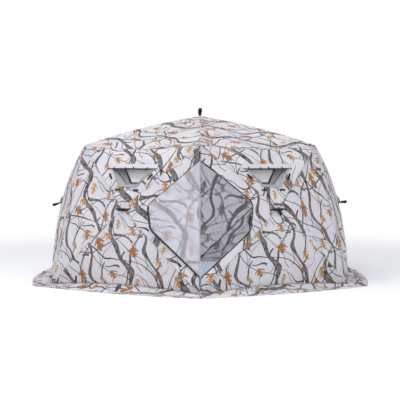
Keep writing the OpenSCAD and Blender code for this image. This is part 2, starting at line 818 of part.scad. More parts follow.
module door_welt() {
    seam_clear = 0.5;
    from = door_sill - 30;
    color(black) in_frame(fold_foot + seam_up * from, [1, 0, 0], -seam_out, seam_up)
        linear_extrude(door_top + 30 - from) {
            circle(r = welt_r);
            polygon([[-1, 0], [1, 0], [2, welt_out - seam_clear], [-2, welt_out - seam_clear]]);
        }
}

// Draws children on the folded-back flap: x away from the fold and y up the seam
module on_flap() {
    in_frame(fold_foot, flap_across, seam_up, cross(flap_across, seam_up)) children();
}

function flap_outline(grow) = let (inner = welt_r + fit)
    [for (uv = door_edge(grow)) [max(uv[0], inner), uv[1]]];

module door_flap() {
    color([0.93, 0.93, 0.95]) on_flap() translate([0, 0, -flap_t / 2])
        linear_extrude(flap_t) polygon(flap_outline(flap_lap));
}

module door_flap_tape() {
    color(black) on_flap() translate([0, 0, -flap_t / 2 - zip_t - fit])
        linear_extrude(zip_t) difference() {
            polygon(flap_outline(flap_lap));
            translate([-1, 0]) polygon(flap_outline(flap_lap - zip_w));
        }
}

// Pulls that hang where the zip's two ends meet the seam
module zip_pull(v) {
    in_frame(fold_foot + seam_up * v, [1, 0, 0], seam_up, seam_out)
        translate([-pull_w / 2, -pull_l, welt_r + fit]) cube([pull_w, pull_l, 4]);
}

module zip_pulls() {
    color(black) {
        zip_pull(door_sill - 16);
        zip_pull(door_top + 26 + pull_l);
    }
}

wall_top(FRONT_LEFT);  // wall_front_left_top
wall_facet(left_panel(FRONT_LEFT));  // wall_front_left_side
wall_facet(base_panel(FRONT_LEFT));  // wall_front_left_base
wall_facet(right_panel(FRONT_LEFT));  // wall_front_left_corner
wall_top(FRONT_RIGHT);  // wall_front_right_top
wall_facet(right_panel(FRONT_RIGHT));  // wall_front_right_side
wall_facet(base_panel(FRONT_RIGHT));  // wall_front_right_base
door_surround(true);  // door_surround_upper
door_surround(false);  // door_surround_lower
wall_panels(RIGHT);  // wall_right
wall_panels(BACK_RIGHT);  // wall_back_right
wall_panels(BACK_LEFT);  // wall_back_left
wall_panels(LEFT);  // wall_left
roof(FRONT_RIGHT);  // roof_front_right
roof(RIGHT);  // roof_right
roof(BACK_RIGHT);  // roof_back_right
roof(BACK_LEFT);  // roof_back_left
roof(LEFT);  // roof_left
roof(FRONT_LEFT);  // roof_front_left
snow_skirt();
roof_hub();
roof_ferrules();
roof_rods();
wall_hubs();
wall_ferrules();
wall_rods(FRONT_RIGHT);  // wall_rods_front_right
wall_rods(RIGHT);  // wall_rods_right
wall_rods(BACK_RIGHT);  // wall_rods_back_right
wall_rods(BACK_LEFT);  // wall_rods_back_left
wall_rods(LEFT);  // wall_rods_left
wall_rods(FRONT_LEFT);  // wall_rods_front_left
eave_fittings();
corner_feet();
hub_hoods();
hub_straps();
roof_cap();
roof_strap();
window_funnels();
window_films();
window_visors();
window_tabs();
storage_pocket();
door_welt();
zip_track();
zip_pulls();
door_flap();
door_flap_tape();
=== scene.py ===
"""Dresses the six-sided ice fishing tent: fabric, windows, door, straps and the stage."""

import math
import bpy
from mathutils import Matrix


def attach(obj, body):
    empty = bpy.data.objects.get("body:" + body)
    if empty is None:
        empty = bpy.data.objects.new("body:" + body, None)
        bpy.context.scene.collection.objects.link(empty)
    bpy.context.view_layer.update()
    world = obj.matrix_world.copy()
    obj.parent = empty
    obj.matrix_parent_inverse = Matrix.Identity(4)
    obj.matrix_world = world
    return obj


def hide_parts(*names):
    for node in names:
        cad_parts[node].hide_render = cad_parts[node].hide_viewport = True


bl_info = {
    "name": "Ice fishing tent",
    "version": (1, 0, 0),
    "blender": (4, 5, 0),
    "location": "3D View > Sidebar > Ice Tent",
    "description": "Builds the fabric and fittings of a six-sided pop-up ice fishing tent",
    "category": "Add Mesh",
}

import bmesh
import bpy
import numpy as np
from mathutils import Vector, geometry, noise

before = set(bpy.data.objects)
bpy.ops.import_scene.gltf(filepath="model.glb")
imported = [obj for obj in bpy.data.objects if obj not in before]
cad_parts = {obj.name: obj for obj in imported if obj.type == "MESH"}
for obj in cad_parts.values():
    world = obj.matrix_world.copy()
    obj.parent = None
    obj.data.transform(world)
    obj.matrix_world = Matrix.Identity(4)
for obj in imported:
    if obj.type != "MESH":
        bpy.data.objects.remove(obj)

UP = Vector((0, 0, 1))
WALL_NAMES = ["front_right", "right", "back_right", "back_left", "left", "front_left"]
WINDOW_WALLS = [0, 2, 3, 5]

# The doorway: u runs from the front corner seam towards the wall's hub, v up along the seam
DOOR_TOP, DOOR_SILL = 1.520, 0.190
DOOR_HIGH, DOOR_LOW = (0.610, 1.068), (0.575, 0.752)
DOOR_ROUND = 0.13
# The flap: its width, how far its upper edge hangs where it is slackest, and its tape's width
FLAP_WIDE, FLAP_HANG, FLAP_TAPE = 0.62, 0.038, 0.022
# A window's funnel: how far its straight lip goes in and how far its sides sag
FUNNEL_LIP, FUNNEL_SAG = 0.014, 0.006
# Middle of the storage pocket
POCKET_SPOT = (0.8876, 1.5374, 0.5382)

# Rows of a triangle grid, as a share of its spacing
ROW = 0.866

# Turn of the print against its panel
PRINT_LEAN = math.radians(-22)
# Colour of the light that comes through the fabric, and the fabric's outer and inner finish
THROUGH_LIGHT = (0.91, 0.90, 0.92)
PRINTED = ("printed_fabric", "lining")

# Lamps: name, place, aim, size and power
LAMPS = [
    ("Overhead", (-2.0, -3.0, 9.0), (0, 0, 1.0), 9.0, 640.0),
    ("Front left", (-8.0, -10.0, 5.0), (0, 0, 1.0), 6.0, 400.0),
    ("Front right", (9.0, -9.0, 4.0), (0, 0, 1.0), 6.0, 370.0),
]
# Focal length of the camera for a picture 1 wide, its place and its tilt below the horizon
CAMERA_FOCAL = 1112.6 / 400
CAMERA_SPOT = (0.0, -14.286, 1.6125)
CAMERA_DOWN = 2.57


def length_prop(name, description, millimetres):
    """A length setting, given in millimetres and kept in metres."""
    return bpy.props.FloatProperty(
        name=name, description=description, default=millimetres / 1000, unit="LENGTH", precision=4
    )


def colour_prop(name, description, red, green, blue):
    """A colour setting, given as 0 to 255 and kept as linear light."""
    linear = [((c / 255 + 0.055) / 1.055) ** 2.4 if c > 10 else c / 255 / 12.92
              for c in (red, green, blue)]
    return bpy.props.FloatVectorProperty(
        name=name, description=description, default=linear, subtype="COLOR", min=0, max=1
    )


class TentSizes(bpy.types.PropertyGroup):
    """Sizes of the shelter and its details. Windows and zip are a little closer to the photo than
    the frame's."""

    base_r: length_prop("Base radius", "Distance from the middle to a bottom corner", 2050)
    eave_r: length_prop("Eave radius", "Distance from the middle to an eave corner", 1610)
    eave_h: length_prop("Eave height", "Height of the eave corners", 1670)
    apex_h: length_prop("Peak height", "Height of the roof's peak", 2045)
    wall_peak_r: length_prop("Wall peak radius", "Distance from the middle to a wall's hub", 1780)
    wall_peak_h: length_prop("Wall peak height", "Height of a wall's hub", 940)
    hem_h: length_prop("Hem height", "Height of the hem at a corner", 14)
    hem_rise: length_prop("Hem rise", "Lift of the hem between two corners", 50)
    eave_sag: length_prop("Eave sag", "Sag of the eave between two corners", 48)
    wall_bow: length_prop("Wall bow", "How far a wall rod bows out", 28)
    roof_bow: length_prop("Roof bow", "How far a roof rod bows up", 34)
    skirt_tip_r: length_prop("Skirt tip radius", "Distance to the skirt's corner tips", 2290)
    skirt_belly: length_prop("Skirt bulge", "How far the skirt's edge bulges out", 110)
    cloth: length_prop("Cloth", "Thickness of the tent fabric", 1.4)
    grid: length_prop("Mesh spacing", "Distance between the points of a fabric mesh", 26)
    window_top: length_prop("Window top", "Width of a window at its top", 590)
    window_bottom: length_prop("Window bottom", "Width of a window at its bottom", 238)
    window_h: length_prop("Window height", "Height of a window", 246)
    film_top: length_prop("Film top", "Width of the clear film at its top", 388)
    film_bottom: length_prop("Film bottom", "Width of the clear film at its bottom", 112)
    film_h: length_prop("Film height", "Height of the clear film", 196)
    film_back: length_prop("Film depth", "How far the film lies behind the fabric", 122)
    film_up: length_prop("Film rise", "How far the film lies above the window's middle", 80)
    visor_w: length_prop("Visor width", "Width of the rain visor", 676)
    visor_h: length_prop("Visor height", "Height of the rain visor", 74)
    hood_r: length_prop("Hood radius", "Radius of a hub's hood", 104)
    hood_deep: length_prop("Hood depth", "Depth of a hub's hood", 34)
    strap_w: length_prop("Strap width", "Width of a hub's pull strap", 38)
    loop_h: length_prop("Loop height", "Height of the roof's strap loop", 92)
    loop_w: length_prop("Loop width", "Width of the roof's strap loop", 38)
    pocket_w: length_prop("Pocket width", "Width of the storage pocket", 420)
    pocket_h: length_prop("Pocket height", "Height of the storage pocket", 236)
    pocket_deep: length_prop("Pocket depth", "Depth of the storage pocket", 46)
    zip_w: length_prop("Zip width", "Width of the zip tape that shows", 14)
    repeat: length_prop("Print repeat", "Width and height of the print's repeat", 760)


class TentColours(bpy.types.PropertyGroup):
    """Colours of the fabric, its print and the trims."""

    ground: colour_prop("Ground", "Ground of the winter print", 241, 238, 239)
    haze: colour_prop("Haze", "Soft patches in the ground", 229, 226, 231)
    bark: colour_prop("Bark", "Branches of the print", 50, 42, 44)
    bark_light: colour_prop("Bark streaks", "Light streaks in the branches", 146, 136, 136)
    bark_dark: colour_prop("Bark edges", "Dark edges of the branches", 14, 11, 13)
    twig: colour_prop("Twigs", "Hair twigs of the print", 22, 18, 21)
    leaf: colour_prop("Leaf", "Leaves of the print", 156, 98, 50)
    leaf_light: colour_prop("Light leaf", "Light parts of the leaves", 206, 164, 110)
    leaf_dark: colour_prop("Leaf veins", "Veins and edges of the leaves", 58, 34, 20)
    lining: colour_prop("Lining", "Coated inner side of the fabric", 213, 216, 226)
    # Painted shade: the visor cloth is white, given this grey so that the upward-facing visors are not
    # lit too bright; the window rims and the door bead share it.
    white_cloth: colour_prop("White cloth", "Visors", 178, 177, 182)
    mesh_grey: colour_prop("Mesh", "Grey mesh round a window", 174, 173, 178)
    webbing: colour_prop("Webbing", "Straps, tapes and bindings", 17, 17, 20)
    film: colour_prop("Film", "Clear film of a window", 240, 241, 237)
    plastic: colour_prop("Plastic", "Hubs and corner fittings", 30, 30, 33)
    rod: colour_prop("Rod", "Glass fibre rods", 36, 36, 39)
    floor: colour_prop("Floor", "Studio floor", 232, 234, 238)


def sizes():
    return bpy.context.scene.tent_sizes


def colours():
    return bpy.context.scene.tent_colours


# Shape of the shelter, in metres


def polar(r, angle, z):
    """Point at a radius, an angle in degrees and a height."""
    return Vector((r * math.cos(math.radians(angle)), r * math.sin(math.radians(angle)), z))


def corner_a(j):
    return -90 + 60 * j


def wall_a(k):
    return -60 + 60 * k


def base_corner(j):
    return polar(sizes().base_r, corner_a(j), sizes().hem_h)


def eave_corner(j):
    return polar(sizes().eave_r, corner_a(j), sizes().eave_h)


def wall_peak(k):
    return polar(sizes().wall_peak_r, wall_a(k), sizes().wall_peak_h)


def wall_lean():
    z = sizes()
    return math.atan2((z.base_r - z.eave_r) * math.cos(math.radians(30)), z.eave_h - z.hem_h)


def wall_out(k):
    return polar(math.cos(wall_lean()), wall_a(k), math.sin(wall_lean()))


def wall_up(k):
    return polar(-math.sin(wall_lean()), wall_a(k), math.cos(wall_lean()))


def wall_side(k):
    return polar(1, wall_a(k) + 90, 0)


class Facet:
    """A fabric panel between two bowed rods that meet at its peak.

    a and b are places in the flat triangle: a along the far edge from its first corner, b towards
    the peak. s runs from the peak to the far edge and t from the first corner to the second."""

    HOLE = 0.012

    def __init__(self, peak, first, second, sag, bow, print_x, print_y, shift):
        self.peak, self.first, self.second, self.sag, self.bow = peak, first, second, sag, bow
        self.x = (second - first).normalized()
        self.width = (second - first).length
        self.peak_a = (peak - first).dot(self.x)
        self.y = (peak - first - self.x * self.peak_a).normalized()
        self.height = (peak - first).dot(self.y)
        self.out = self.x.cross(self.y)
        self.print_x, self.print_y, self.shift = print_x, print_y, shift

    def st(self, a, b):
        s = 1 - b / self.height
        return s, (a - self.peak_a * (1 - s)) / (self.width * s)

    def flat(self, s, t):
        return t * self.width * s + self.peak_a * (1 - s), self.height * (1 - s)

    def point(self, s, t):
        bend = self.bow * 4 * s * (1 - s)
        one = self.peak.lerp(self.first, s) + bend
        two = self.peak.lerp(self.second, s) + bend
        return one.lerp(two, t) + self.sag * 4 * t * (1 - t) * s * s

    def border(self, spacing):
        """Corners and evenly placed points of the outline, anticlockwise in a and b."""
        run = max(6, round(self.width / spacing))
        rods = [max(6, round((c - self.peak).length / spacing)) for c in (self.first, self.second)]
        hole = self.HOLE
        points = [self.flat(1, i / run) for i in range(run)]
        points += [self.flat(1 + (hole - 1) * i / rods[1], 1) for i in range(rods[1])]
        points += [self.flat(hole, 1 - i / 2) for i in range(2)]
        points += [self.flat(hole + (1 - hole) * i / rods[0], 0) for i in range(rods[0])]
        return points

    def corners(self):
        return [self.flat(1, 0), self.flat(1, 1), self.flat(self.HOLE, 1), self.flat(self.HOLE, 0)]


def wall_facets(k):
    """The top, base, left and right panels of wall k."""
    z = sizes()
    out = wall_out(k) * z.wall_bow
    b = [base_corner(k), base_corner(k + 1)]
    e = [eave_corner(k), eave_corner(k + 1)]
    still = Vector((0, 0, 0))
    side, up, peak = wall_side(k), wall_up(k), wall_peak(k)

    def shift(i):
        return ((k * 0.37 + i * 0.23) % 1, (k * 0.61 + i * 0.41) % 1)

    return [
        Facet(peak, e[1], e[0], -UP * z.eave_sag, out, side, up, shift(0)),
        Facet(peak, b[0], b[1], UP * z.hem_rise, out, side, up, shift(1)),
        Facet(peak, e[0], b[0], still, out, side, up, shift(2)),
        Facet(peak, b[1], e[1], still, out, side, up, shift(3)),
    ]


def roof_facet(k):
    z = sizes()
    apex = Vector((0, 0, z.apex_h))
    slope = (apex - polar(z.eave_r * math.cos(math.radians(30)), wall_a(k), z.eave_h)).normalized()
    return Facet(apex, eave_corner(k), eave_corner(k + 1), -UP * z.eave_sag, UP * z.roof_bow,
                 slope, wall_side(k), ((k * 0.43) % 1, (k * 0.29) % 1))


def square_to(v, n):
    return (v - n * v.dot(n)).normalized()


class Place:
    """A frame on the fabric: x to the right seen from outside, y up the slope and z out."""

    def __init__(self, origin, x, y, z):
        self.origin, self.x, self.y, self.z = origin, x, y, z

    def at(self, x, y, z=0.0):
        return self.origin + self.x * x + self.y * y + self.z * z


def on_facet(facet, s, t):
    z = (facet.point(s + 0.01, t) - facet.point(s - 0.01, t)).cross(
        facet.point(s, t + 0.01) - facet.point(s, t - 0.01)).normalized()
    x = square_to(UP.cross(z), z)
    return Place(facet.point(s, t), x, z.cross(x), z)


def window_place(k):
    return on_facet(wall_facets(k)[0], 0.5, 0.5)


def trapezoid(top, bottom, height, grow):
    """Corners of an upright trapezoid round its middle, from its lower left, anticlockwise."""
    y, low, high = height / 2 + grow, bottom / 2 + grow, top / 2 + grow
    return [(-low, -y), (low, -y), (high, y), (-high, y)]


def door_frame():
    """The panel beside the front corner, from the seam's foot, and the seam's length."""
    foot, top, peak = base_corner(0), eave_corner(0), wall_peak(0)
    up = (top - foot).normalized()
    out = (top - peak).cross(foot - peak).normalized()
    return Place(foot, up.cross(out), up, out), (top - foot).length


def rounded(a, b, c, r, n):
    """Points of a corner at b rounded by radius r, between its neighbours a and c."""
    a, b, c = Vector(a), Vector(b), Vector(c)
    p, q = (a - b).normalized(), (c - b).normalized()
    half = p.angle(q) / 2
    centre = b + (p + q).normalized() * r / math.sin(half)
    first = b + p * r / math.tan(half) - centre
    turn = math.pi - 2 * half
    way = -1 if p.x * q.y - p.y * q.x > 0 else 1
    points = []
    for i in range(n + 1):
        angle = way * turn * i / n
        points.append((centre.x + first.x * math.cos(angle) - first.y * math.sin(angle),
                       centre.y + first.x * math.sin(angle) + first.y * math.cos(angle)))
    return points


def door_edge(grow):
    """The doorway's edge from its top, round its outer corners to its sill."""
    top = (0, DOOR_TOP + grow * 1.25)
    high = (DOOR_HIGH[0] + grow, DOOR_HIGH[1] + grow * 0.45)
    low = (DOOR_LOW[0] + grow, DOOR_LOW[1] - grow * 0.6)
    sill = (0, DOOR_SILL - grow * 1.25)
    return ([top] + rounded(top, high, low, DOOR_ROUND, 8) + rounded(high, low, sill, DOOR_ROUND, 8)
            + [sill])


def spaced(points, spacing, closed=False):
    """The same run of points with extra ones, no further apart than the spacing."""
    points = [Vector(p) for p in points]
    pairs = list(zip(points, points[1:] + points[:1])) if closed else list(zip(points, points[1:]))
    result = []
    for a, b in pairs:
        n = max(1, math.ceil((b - a).length / spacing))
        result += [a.lerp(b, i / n) for i in range(n)]
    return result if closed else result + [points[-1]]


def paired(points, near, far):
    """Each point with its partner on far, across from the nearest place on near."""
    near, far = [Vector(p) for p in near], [Vector(p) for p in far]
    rows = []
    for p in points:
        best = None
        for a, b, c, d in zip(near, near[1:], far, far[1:]):
            run = (b - a).length
            f = max(0, min(1, (p - a).dot(b - a) / run / run)) if run else 0
            gap = (a.lerp(b, f) - p).length
            if best is None or gap < best[0]:
                best = (gap, c.lerp(d, f))
        rows.append((p, best[1]))
    return rows


def nth(items, share):
    """The item at a share of the way through a list."""
    return items[min(int(round(share * (len(items) - 1))), len(items) - 1)]


# Meshes


def deselect():
    for o in bpy.context.selected_objects:
        o.select_set(False)


def depth_in(points, polygon):
    """Distance of points inside a convex anticlockwise polygon, below 0 outside, and the place
    along its nearest side."""
    points = np.asarray(points, dtype=float)
    corners = np.asarray([tuple(p) for p in polygon], dtype=float)
    best = np.full(len(points), 1e9)
    along = np.zeros(len(points))
    for a, b in zip(corners, np.roll(corners, -1, axis=0)):
        run = np.hypot(*(b - a))
        if run < 1e-9:
            continue
        d = (b - a) / run
        distance = d[0] * (points[:, 1] - a[1]) - d[1] * (points[:, 0] - a[0])
        nearer = distance < best
        best = np.where(nearer, distance, best)
        along = np.where(nearer, (points - a) @ d, along)
    return best, along


def area_sign(polygon):
    return sum(a[0] * b[1] - b[0] * a[1] for a, b in zip(polygon, polygon[1:] + polygon[:1]))


def fill(border, corners, hole, spacing):
    """Triangles over a convex outline outside a convex hole, with their points in two sizes."""
    low = np.min([tuple(p) for p in border], axis=0)
    high = np.max([tuple(p) for p in border], axis=0)
    rows = int((high[1] - low[1]) / (spacing * ROW)) + 1
    inner = np.array([(low[0] + (i + 0.5 * (j % 2)) * spacing, low[1] + j * spacing * ROW)
                      for j in range(rows + 1) for i in range(int((high[0] - low[0]) / spacing) + 2)])
    keep = depth_in(inner, corners)[0] > spacing * 0.45
    edges = [(i, (i + 1) % len(border)) for i in range(len(border))]
    points = [Vector(p) for p in border]
    if hole:
        keep &= depth_in(inner, hole)[0] < -spacing * 0.45
        ring = spaced(hole, spacing, closed=True)
        edges += [(len(points) + i, len(points) + (i + 1) % len(ring)) for i in range(len(ring))]
        points += ring
    points += [Vector(p) for p in inner[keep]]
    flat, _, faces = geometry.delaunay_2d_cdt(points, edges, [], 0, 1e-6)[:3]
    centres = np.array([np.mean([tuple(flat[i]) for i in f], axis=0) for f in faces])
    good = depth_in(centres, corners)[0] > 1e-5
    if hole:
        good &= depth_in(centres, hole)[0] < -1e-5
    return [tuple(p) for p in flat], [list(f) for f, g in zip(faces, good) if g]


def new_object(name, mesh):
    deselect()
    obj = bpy.data.objects.new(name, mesh)
    bpy.context.scene.collection.objects.link(obj)
    obj.select_set(True)
    bpy.context.view_layer.objects.active = obj
    return obj


def sheet_object(name, patches, merge=1e-4, out=None):
    """One mesh from patches of (points, faces, print coordinates, seam coordinates).

    Faces of different patches keep a crease where they meet. With out, most of it faces that way."""
    bm = bmesh.new()
    weave = bm.loops.layers.uv.new("print")
    seam = bm.loops.layers.uv.new("seam")
    part = bm.faces.layers.int.new("part")
    for number, (points, faces, prints, seams) in enumerate(patches):
        verts = [bm.verts.new(p) for p in points]
        for f in faces:
            try:
                face = bm.faces.new([verts[i] for i in f])
            except ValueError:
                continue
            face[part] = number
            face.smooth = True
            for loop, i in zip(face.loops, f):
                loop[weave].uv = prints[i]
                loop[seam].uv = seams[i]
    bmesh.ops.remove_doubles(bm, verts=bm.verts, dist=merge)
    bmesh.ops.delete(bm, geom=[v for v in bm.verts if not v.link_faces], context="VERTS")
    for edge in bm.edges:
        if len({f[part] for f in edge.link_faces}) > 1:
            edge.smooth = False
    mesh = bpy.data.meshes.new(name)
    bm.to_mesh(mesh)
    bm.free()
    if out is not None and sum((f.normal * f.area for f in mesh.polygons), Vector()).dot(out) < 0:
        mesh.flip_normals()
    return new_object(name, mesh)


def apply_all(obj):
    deselect()
    obj.select_set(True)
    bpy.context.view_layer.objects.active = obj
    for modifier in list(obj.modifiers):
        bpy.ops.object.modifier_apply(modifier=modifier.name)


def thicken(obj, thickness, inner_slot, offset):
    """Gives a sheet its thickness; its inner side takes the material this many slots on."""
    wall = obj.modifiers.new("Thickness", "SOLIDIFY")
    wall.thickness = thickness
    wall.offset = offset
    wall.material_offset = inner_slot
    apply_all(obj)


def dress(obj, *finishes):
    obj.data.materials.clear()
    for finish in finishes:
        obj.data.materials.append(material(finish))


def cloth(name, patches, thickness, finishes, offset=-1.0, out=None, merge=1e-4):
    """A sheet with its thickness; the second of two finishes is that of its inner side."""
    obj = sheet_object(name, patches, merge, out)
    dress(obj, *finishes)
    thicken(obj, thickness, len(finishes) - 1, offset)
    return obj


def grid_patch(point, rows, cols, flip=False, to_print=None, to_seam=None):
    """A patch over a grid: point takes two shares from 0 to 1 and gives a place.

    to_print gives a place's print coordinates, to_seam those of two shares beside a seam."""
    shares = [(i / rows, j / cols) for i in range(rows + 1) for j in range(cols + 1)]
    points = [point(i, j) for i, j in shares]
    faces = []
    for i in range(rows):
        for j in range(cols):
            a = i * (cols + 1) + j
            f = [a, a + 1, a + cols + 2, a + cols + 1]
            faces.append(f[::-1] if flip else f)
    if to_print:
        prints = [to_print(p) for p in points]
    else:
        along, wide = [0.0], [0.0]
        for i in range(1, rows + 1):
            along.append(along[-1] + (points[i * (cols + 1)] - points[(i - 1) * (cols + 1)]).length)
        for j in range(1, cols + 1):
            wide.append(wide[-1] + (points[j] - points[j - 1]).length)
        prints = [(wide[j], along[i]) for i in range(rows + 1) for j in range(cols + 1)]
    if to_seam:
        seams = [to_seam(i, j) for i, j in shares]
    else:
        width = max(p[0] for p in prints)
        seams = [(min(p[0], width - p[0]), p[1]) for p in prints]
    return points, faces, prints, seams


def ribbon(path, sides, width, thickness, name, finish):
    """A flat strap swept along a path; sides gives its width direction at each point."""
    path = [Vector(p) for p in path]
    ways = []
    for i, p in enumerate(path):
        ahead = (path[min(i + 1, len(path) - 1)] - path[max(i - 1, 0)]).normalized()
        ways.append(square_to(Vector(sides[i]), ahead))
    rows = list(zip(path, ways))

    def point(r, c):
        p, way = nth(rows, r)
        return p + way * (c - 0.5) * width

    return cloth(name, [grid_patch(point, len(path) - 1, 4)], thickness, [finish], 0.0, merge=1e-6)


def curve_points(knots, n):
    """A smooth run of n points through the knots."""
    knots = [Vector(k) for k in knots]
    ends = [knots[0] * 2 - knots[1]] + knots + [knots[-1] * 2 - knots[-2]]
    spans = len(knots) - 1
    result = []
    for i in range(n):
        x = i / (n - 1) * spans
        k = min(int(x), spans - 1)
        t = x - k
        p0, p1, p2, p3 = ends[k:k + 4]
        result.append(0.5 * (2 * p1 + (p2 - p0) * t + (2 * p0 - 5 * p1 + 4 * p2 - p3) * t * t
                             + (3 * p1 - p0 - 3 * p2 + p3) * t ** 3))
    return result


def tube(path, radius, name, finish, sides=8, squash=1.0, flat=None):
    """A cord-like bead swept along a path, closed at its ends."""
    path = [Vector(p) for p in path]
    bm = bmesh.new()
    rings = []
    reference = Vector(flat) if flat else UP
    for i, p in enumerate(path):
        ahead = (path[min(i + 1, len(path) - 1)] - path[max(i - 1, 0)]).normalized()
        if abs(reference.dot(ahead)) > 0.95:
            reference = Vector((1, 0, 0)) if abs(ahead.x) < 0.8 else Vector((0, 1, 0))
        x = square_to(reference, ahead)
        y = ahead.cross(x)
        ring = []
        for n in range(sides):
            angle = 2 * math.pi * n / sides
            spot = p + x * math.cos(angle) * radius * squash + y * math.sin(angle) * radius
            ring.append(bm.verts.new(spot))
        rings.append(ring)
    for one, two in zip(rings, rings[1:]):
        for n in range(sides):
            m = (n + 1) % sides
            bm.faces.new((one[n], one[m], two[m], two[n])).smooth = True
    bm.faces.new(rings[0][::-1])
    bm.faces.new(rings[-1])
    bmesh.ops.recalc_face_normals(bm, faces=bm.faces)
    mesh = bpy.data.meshes.new(name)
    bm.to_mesh(mesh)
    bm.free()
    obj = new_object(name, mesh)
    dress(obj, finish)
    return obj


def join(name, objects):
    """Makes several objects one piece."""
    deselect()
    for o in objects:
        o.select_set(True)
    bpy.context.view_layer.objects.active = objects[0]
    bpy.ops.object.join()
    objects[0].name = name
    objects[0].data.name = name
    return objects[0]


# Shader trees


class Value:
    """A socket of a shader tree. Arithmetic on it adds Math nodes."""

    def __init__(self, tree, socket):
        self.tree, self.socket = tree, socket

    def math(self, operation, *others):
        return self.tree.node("Math", {"operation": operation}, dict(enumerate((self,) + others)))

    def __add__(self, other):
        return self.math("ADD", other)

    def __sub__(self, other):
        return self.math("SUBTRACT", other)

    def __rsub__(self, other):
        return self.tree.node("Math", {"operation": "SUBTRACT"}, {0: other, 1: self})

    def __mul__(self, other):
        return self.math("MULTIPLY", other)

    def __truediv__(self, other):
        return self.math("DIVIDE", other)

    def __abs__(self):
        return self.math("ABSOLUTE")

    def least(self, other):
        return self.math("MINIMUM", other)

    def most(self, other):
        return self.math("MAXIMUM", other)

    def blend_most(self, other, reach):
        return self.math("SMOOTH_MAX", other, reach)

    def sin(self):
        return self.math("SINE")

    def cos(self):
        return self.math("COSINE")

    def part(self):
        return self.math("FRACT")

    def ramp(self, low, high):
        """0 below low and 1 above high, smooth between them."""
        return self.tree.node("MapRange", {"interpolation_type": "SMOOTHSTEP", "clamp": True},
                              {0: self, 1: low, 2: high, 3: 0.0, 4: 1.0})

    def span(self, low, high, to_low, to_high):
        """to_low below low and to_high above high, straight between them."""
        return self.tree.node("MapRange", {"clamp": True},
                              {0: self, 1: low, 2: high, 3: to_low, 4: to_high})


class Tree:
    """The nodes of one material, or of the world."""

    def __init__(self, owner):
        self.owner = owner if isinstance(owner, bpy.types.World) else bpy.data.materials.new(owner)
        self.owner.use_nodes = True
        self.nodes, self.links = self.owner.node_tree.nodes, self.owner.node_tree.links
        self.nodes.clear()

    def node(self, kind, settings=None, inputs=None, output=0):
        """Adds a node: its settings first, then the values or links of its sockets."""
        n = self.nodes.new(("ShaderNodeTex" if kind == "Noise" else "ShaderNode") + kind)
        for key, value in (settings or {}).items():
            setattr(n, key, value)
        for key, value in (inputs or {}).items():
            socket = n.inputs[key]
            if isinstance(value, Value):
                self.links.new(value.socket, socket)
            elif socket.type == "RGBA" and len(value) == 3:
                socket.default_value = (*value, 1.0)
            else:
                socket.default_value = value
        return Value(self, n.outputs[output])

    def vector(self, x, y, z=0.0):
        return self.node("CombineXYZ", None, {0: x, 1: y, 2: z})

    def split(self, vector):
        first = self.node("SeparateXYZ", None, {0: vector})
        outputs = first.socket.node.outputs
        return [Value(self, outputs[i]) for i in range(3)]

    def uv(self, name):
        n = self.nodes.new("ShaderNodeUVMap")
        n.uv_map = name
        return Value(self, n.outputs[0])

    def place(self):
        return self.node("TexCoord", output=3)

    def noise(self, vector, scale, detail=2.0, rough=0.5):
        return self.node("Noise", {"noise_dimensions": "3D"},
                         {"Vector": vector, "Scale": scale, "Detail": detail, "Roughness": rough})

    def mix(self, factor, a, b):
        return self.node("Mix", {"data_type": "RGBA"}, {0: factor, 6: a, 7: b}, 2)

    def blend(self, factor, one, two):
        """Mix of two shaders."""
        return self.node("MixShader", None, {0: factor, 1: one, 2: two})

    def glow(self, colour):
        return self.node("Emission", None, {0: colour, 1: 1.0})

    def bump(self, height, distance):
        return self.node("Bump", None, {"Height": height, "Distance": distance})

    def finish(self, shader, kind="Material"):
        out = self.nodes.new("ShaderNodeOutput" + kind)
        self.links.new(shader.socket, out.inputs[0])
        return self.owner

    def surface(self, **inputs):
        names = {key.replace("_", " ").title().replace("Ior", "IOR"): v for key, v in inputs.items()}
        return self.node("BsdfPrincipled", None, names)


# Endless branches of the print: step right and up from one repeat to the next, place, sway, phase
# and half width, the last four as shares of the repeat or in radians
BRANCHES = [
    (0, 1, 0.20, 0.070, 0.4, 0.0370), (0, 1, 0.71, 0.085, 3.1, 0.0285),
    (1, 1, 0.10, 0.060, 1.7, 0.0105), (1, -1, 0.46, 0.055, 4.4, 0.0085),
    (1, 0, 0.36, 0.050, 2.2, 0.0070), (-1, 2, 0.22, 0.050, 0.9, 0.0060),
]
# Side limbs: middle x, y, direction in degrees, length, sway, waves, phase, half width at its start
# and end, as shares of the repeat
LIMBS = [
    (0.34, 0.66, -36, 0.38, 0.030, 0.8, 1.0, 0.0260, 0.0130),
    (0.88, 0.30, 46, 0.34, 0.020, 0.9, 0.4, 0.0190, 0.0090),
    (0.55, 0.84, 152, 0.32, 0.025, 1.0, 2.0, 0.0130, 0.0050),
    (0.07, 0.30, 138, 0.24, 0.015, 0.8, 0.0, 0.0140, 0.0060),
    (0.29, 0.36, 28, 0.12, 0.004, 0.5, 0.0, 0.0180, 0.0100),
    (0.64, 0.60, 160, 0.12, 0.004, 0.5, 0.0, 0.0160, 0.0080),
    (0.80, 0.08, 24, 0.13, 0.006, 0.5, 0.0, 0.0150, 0.0070),
]
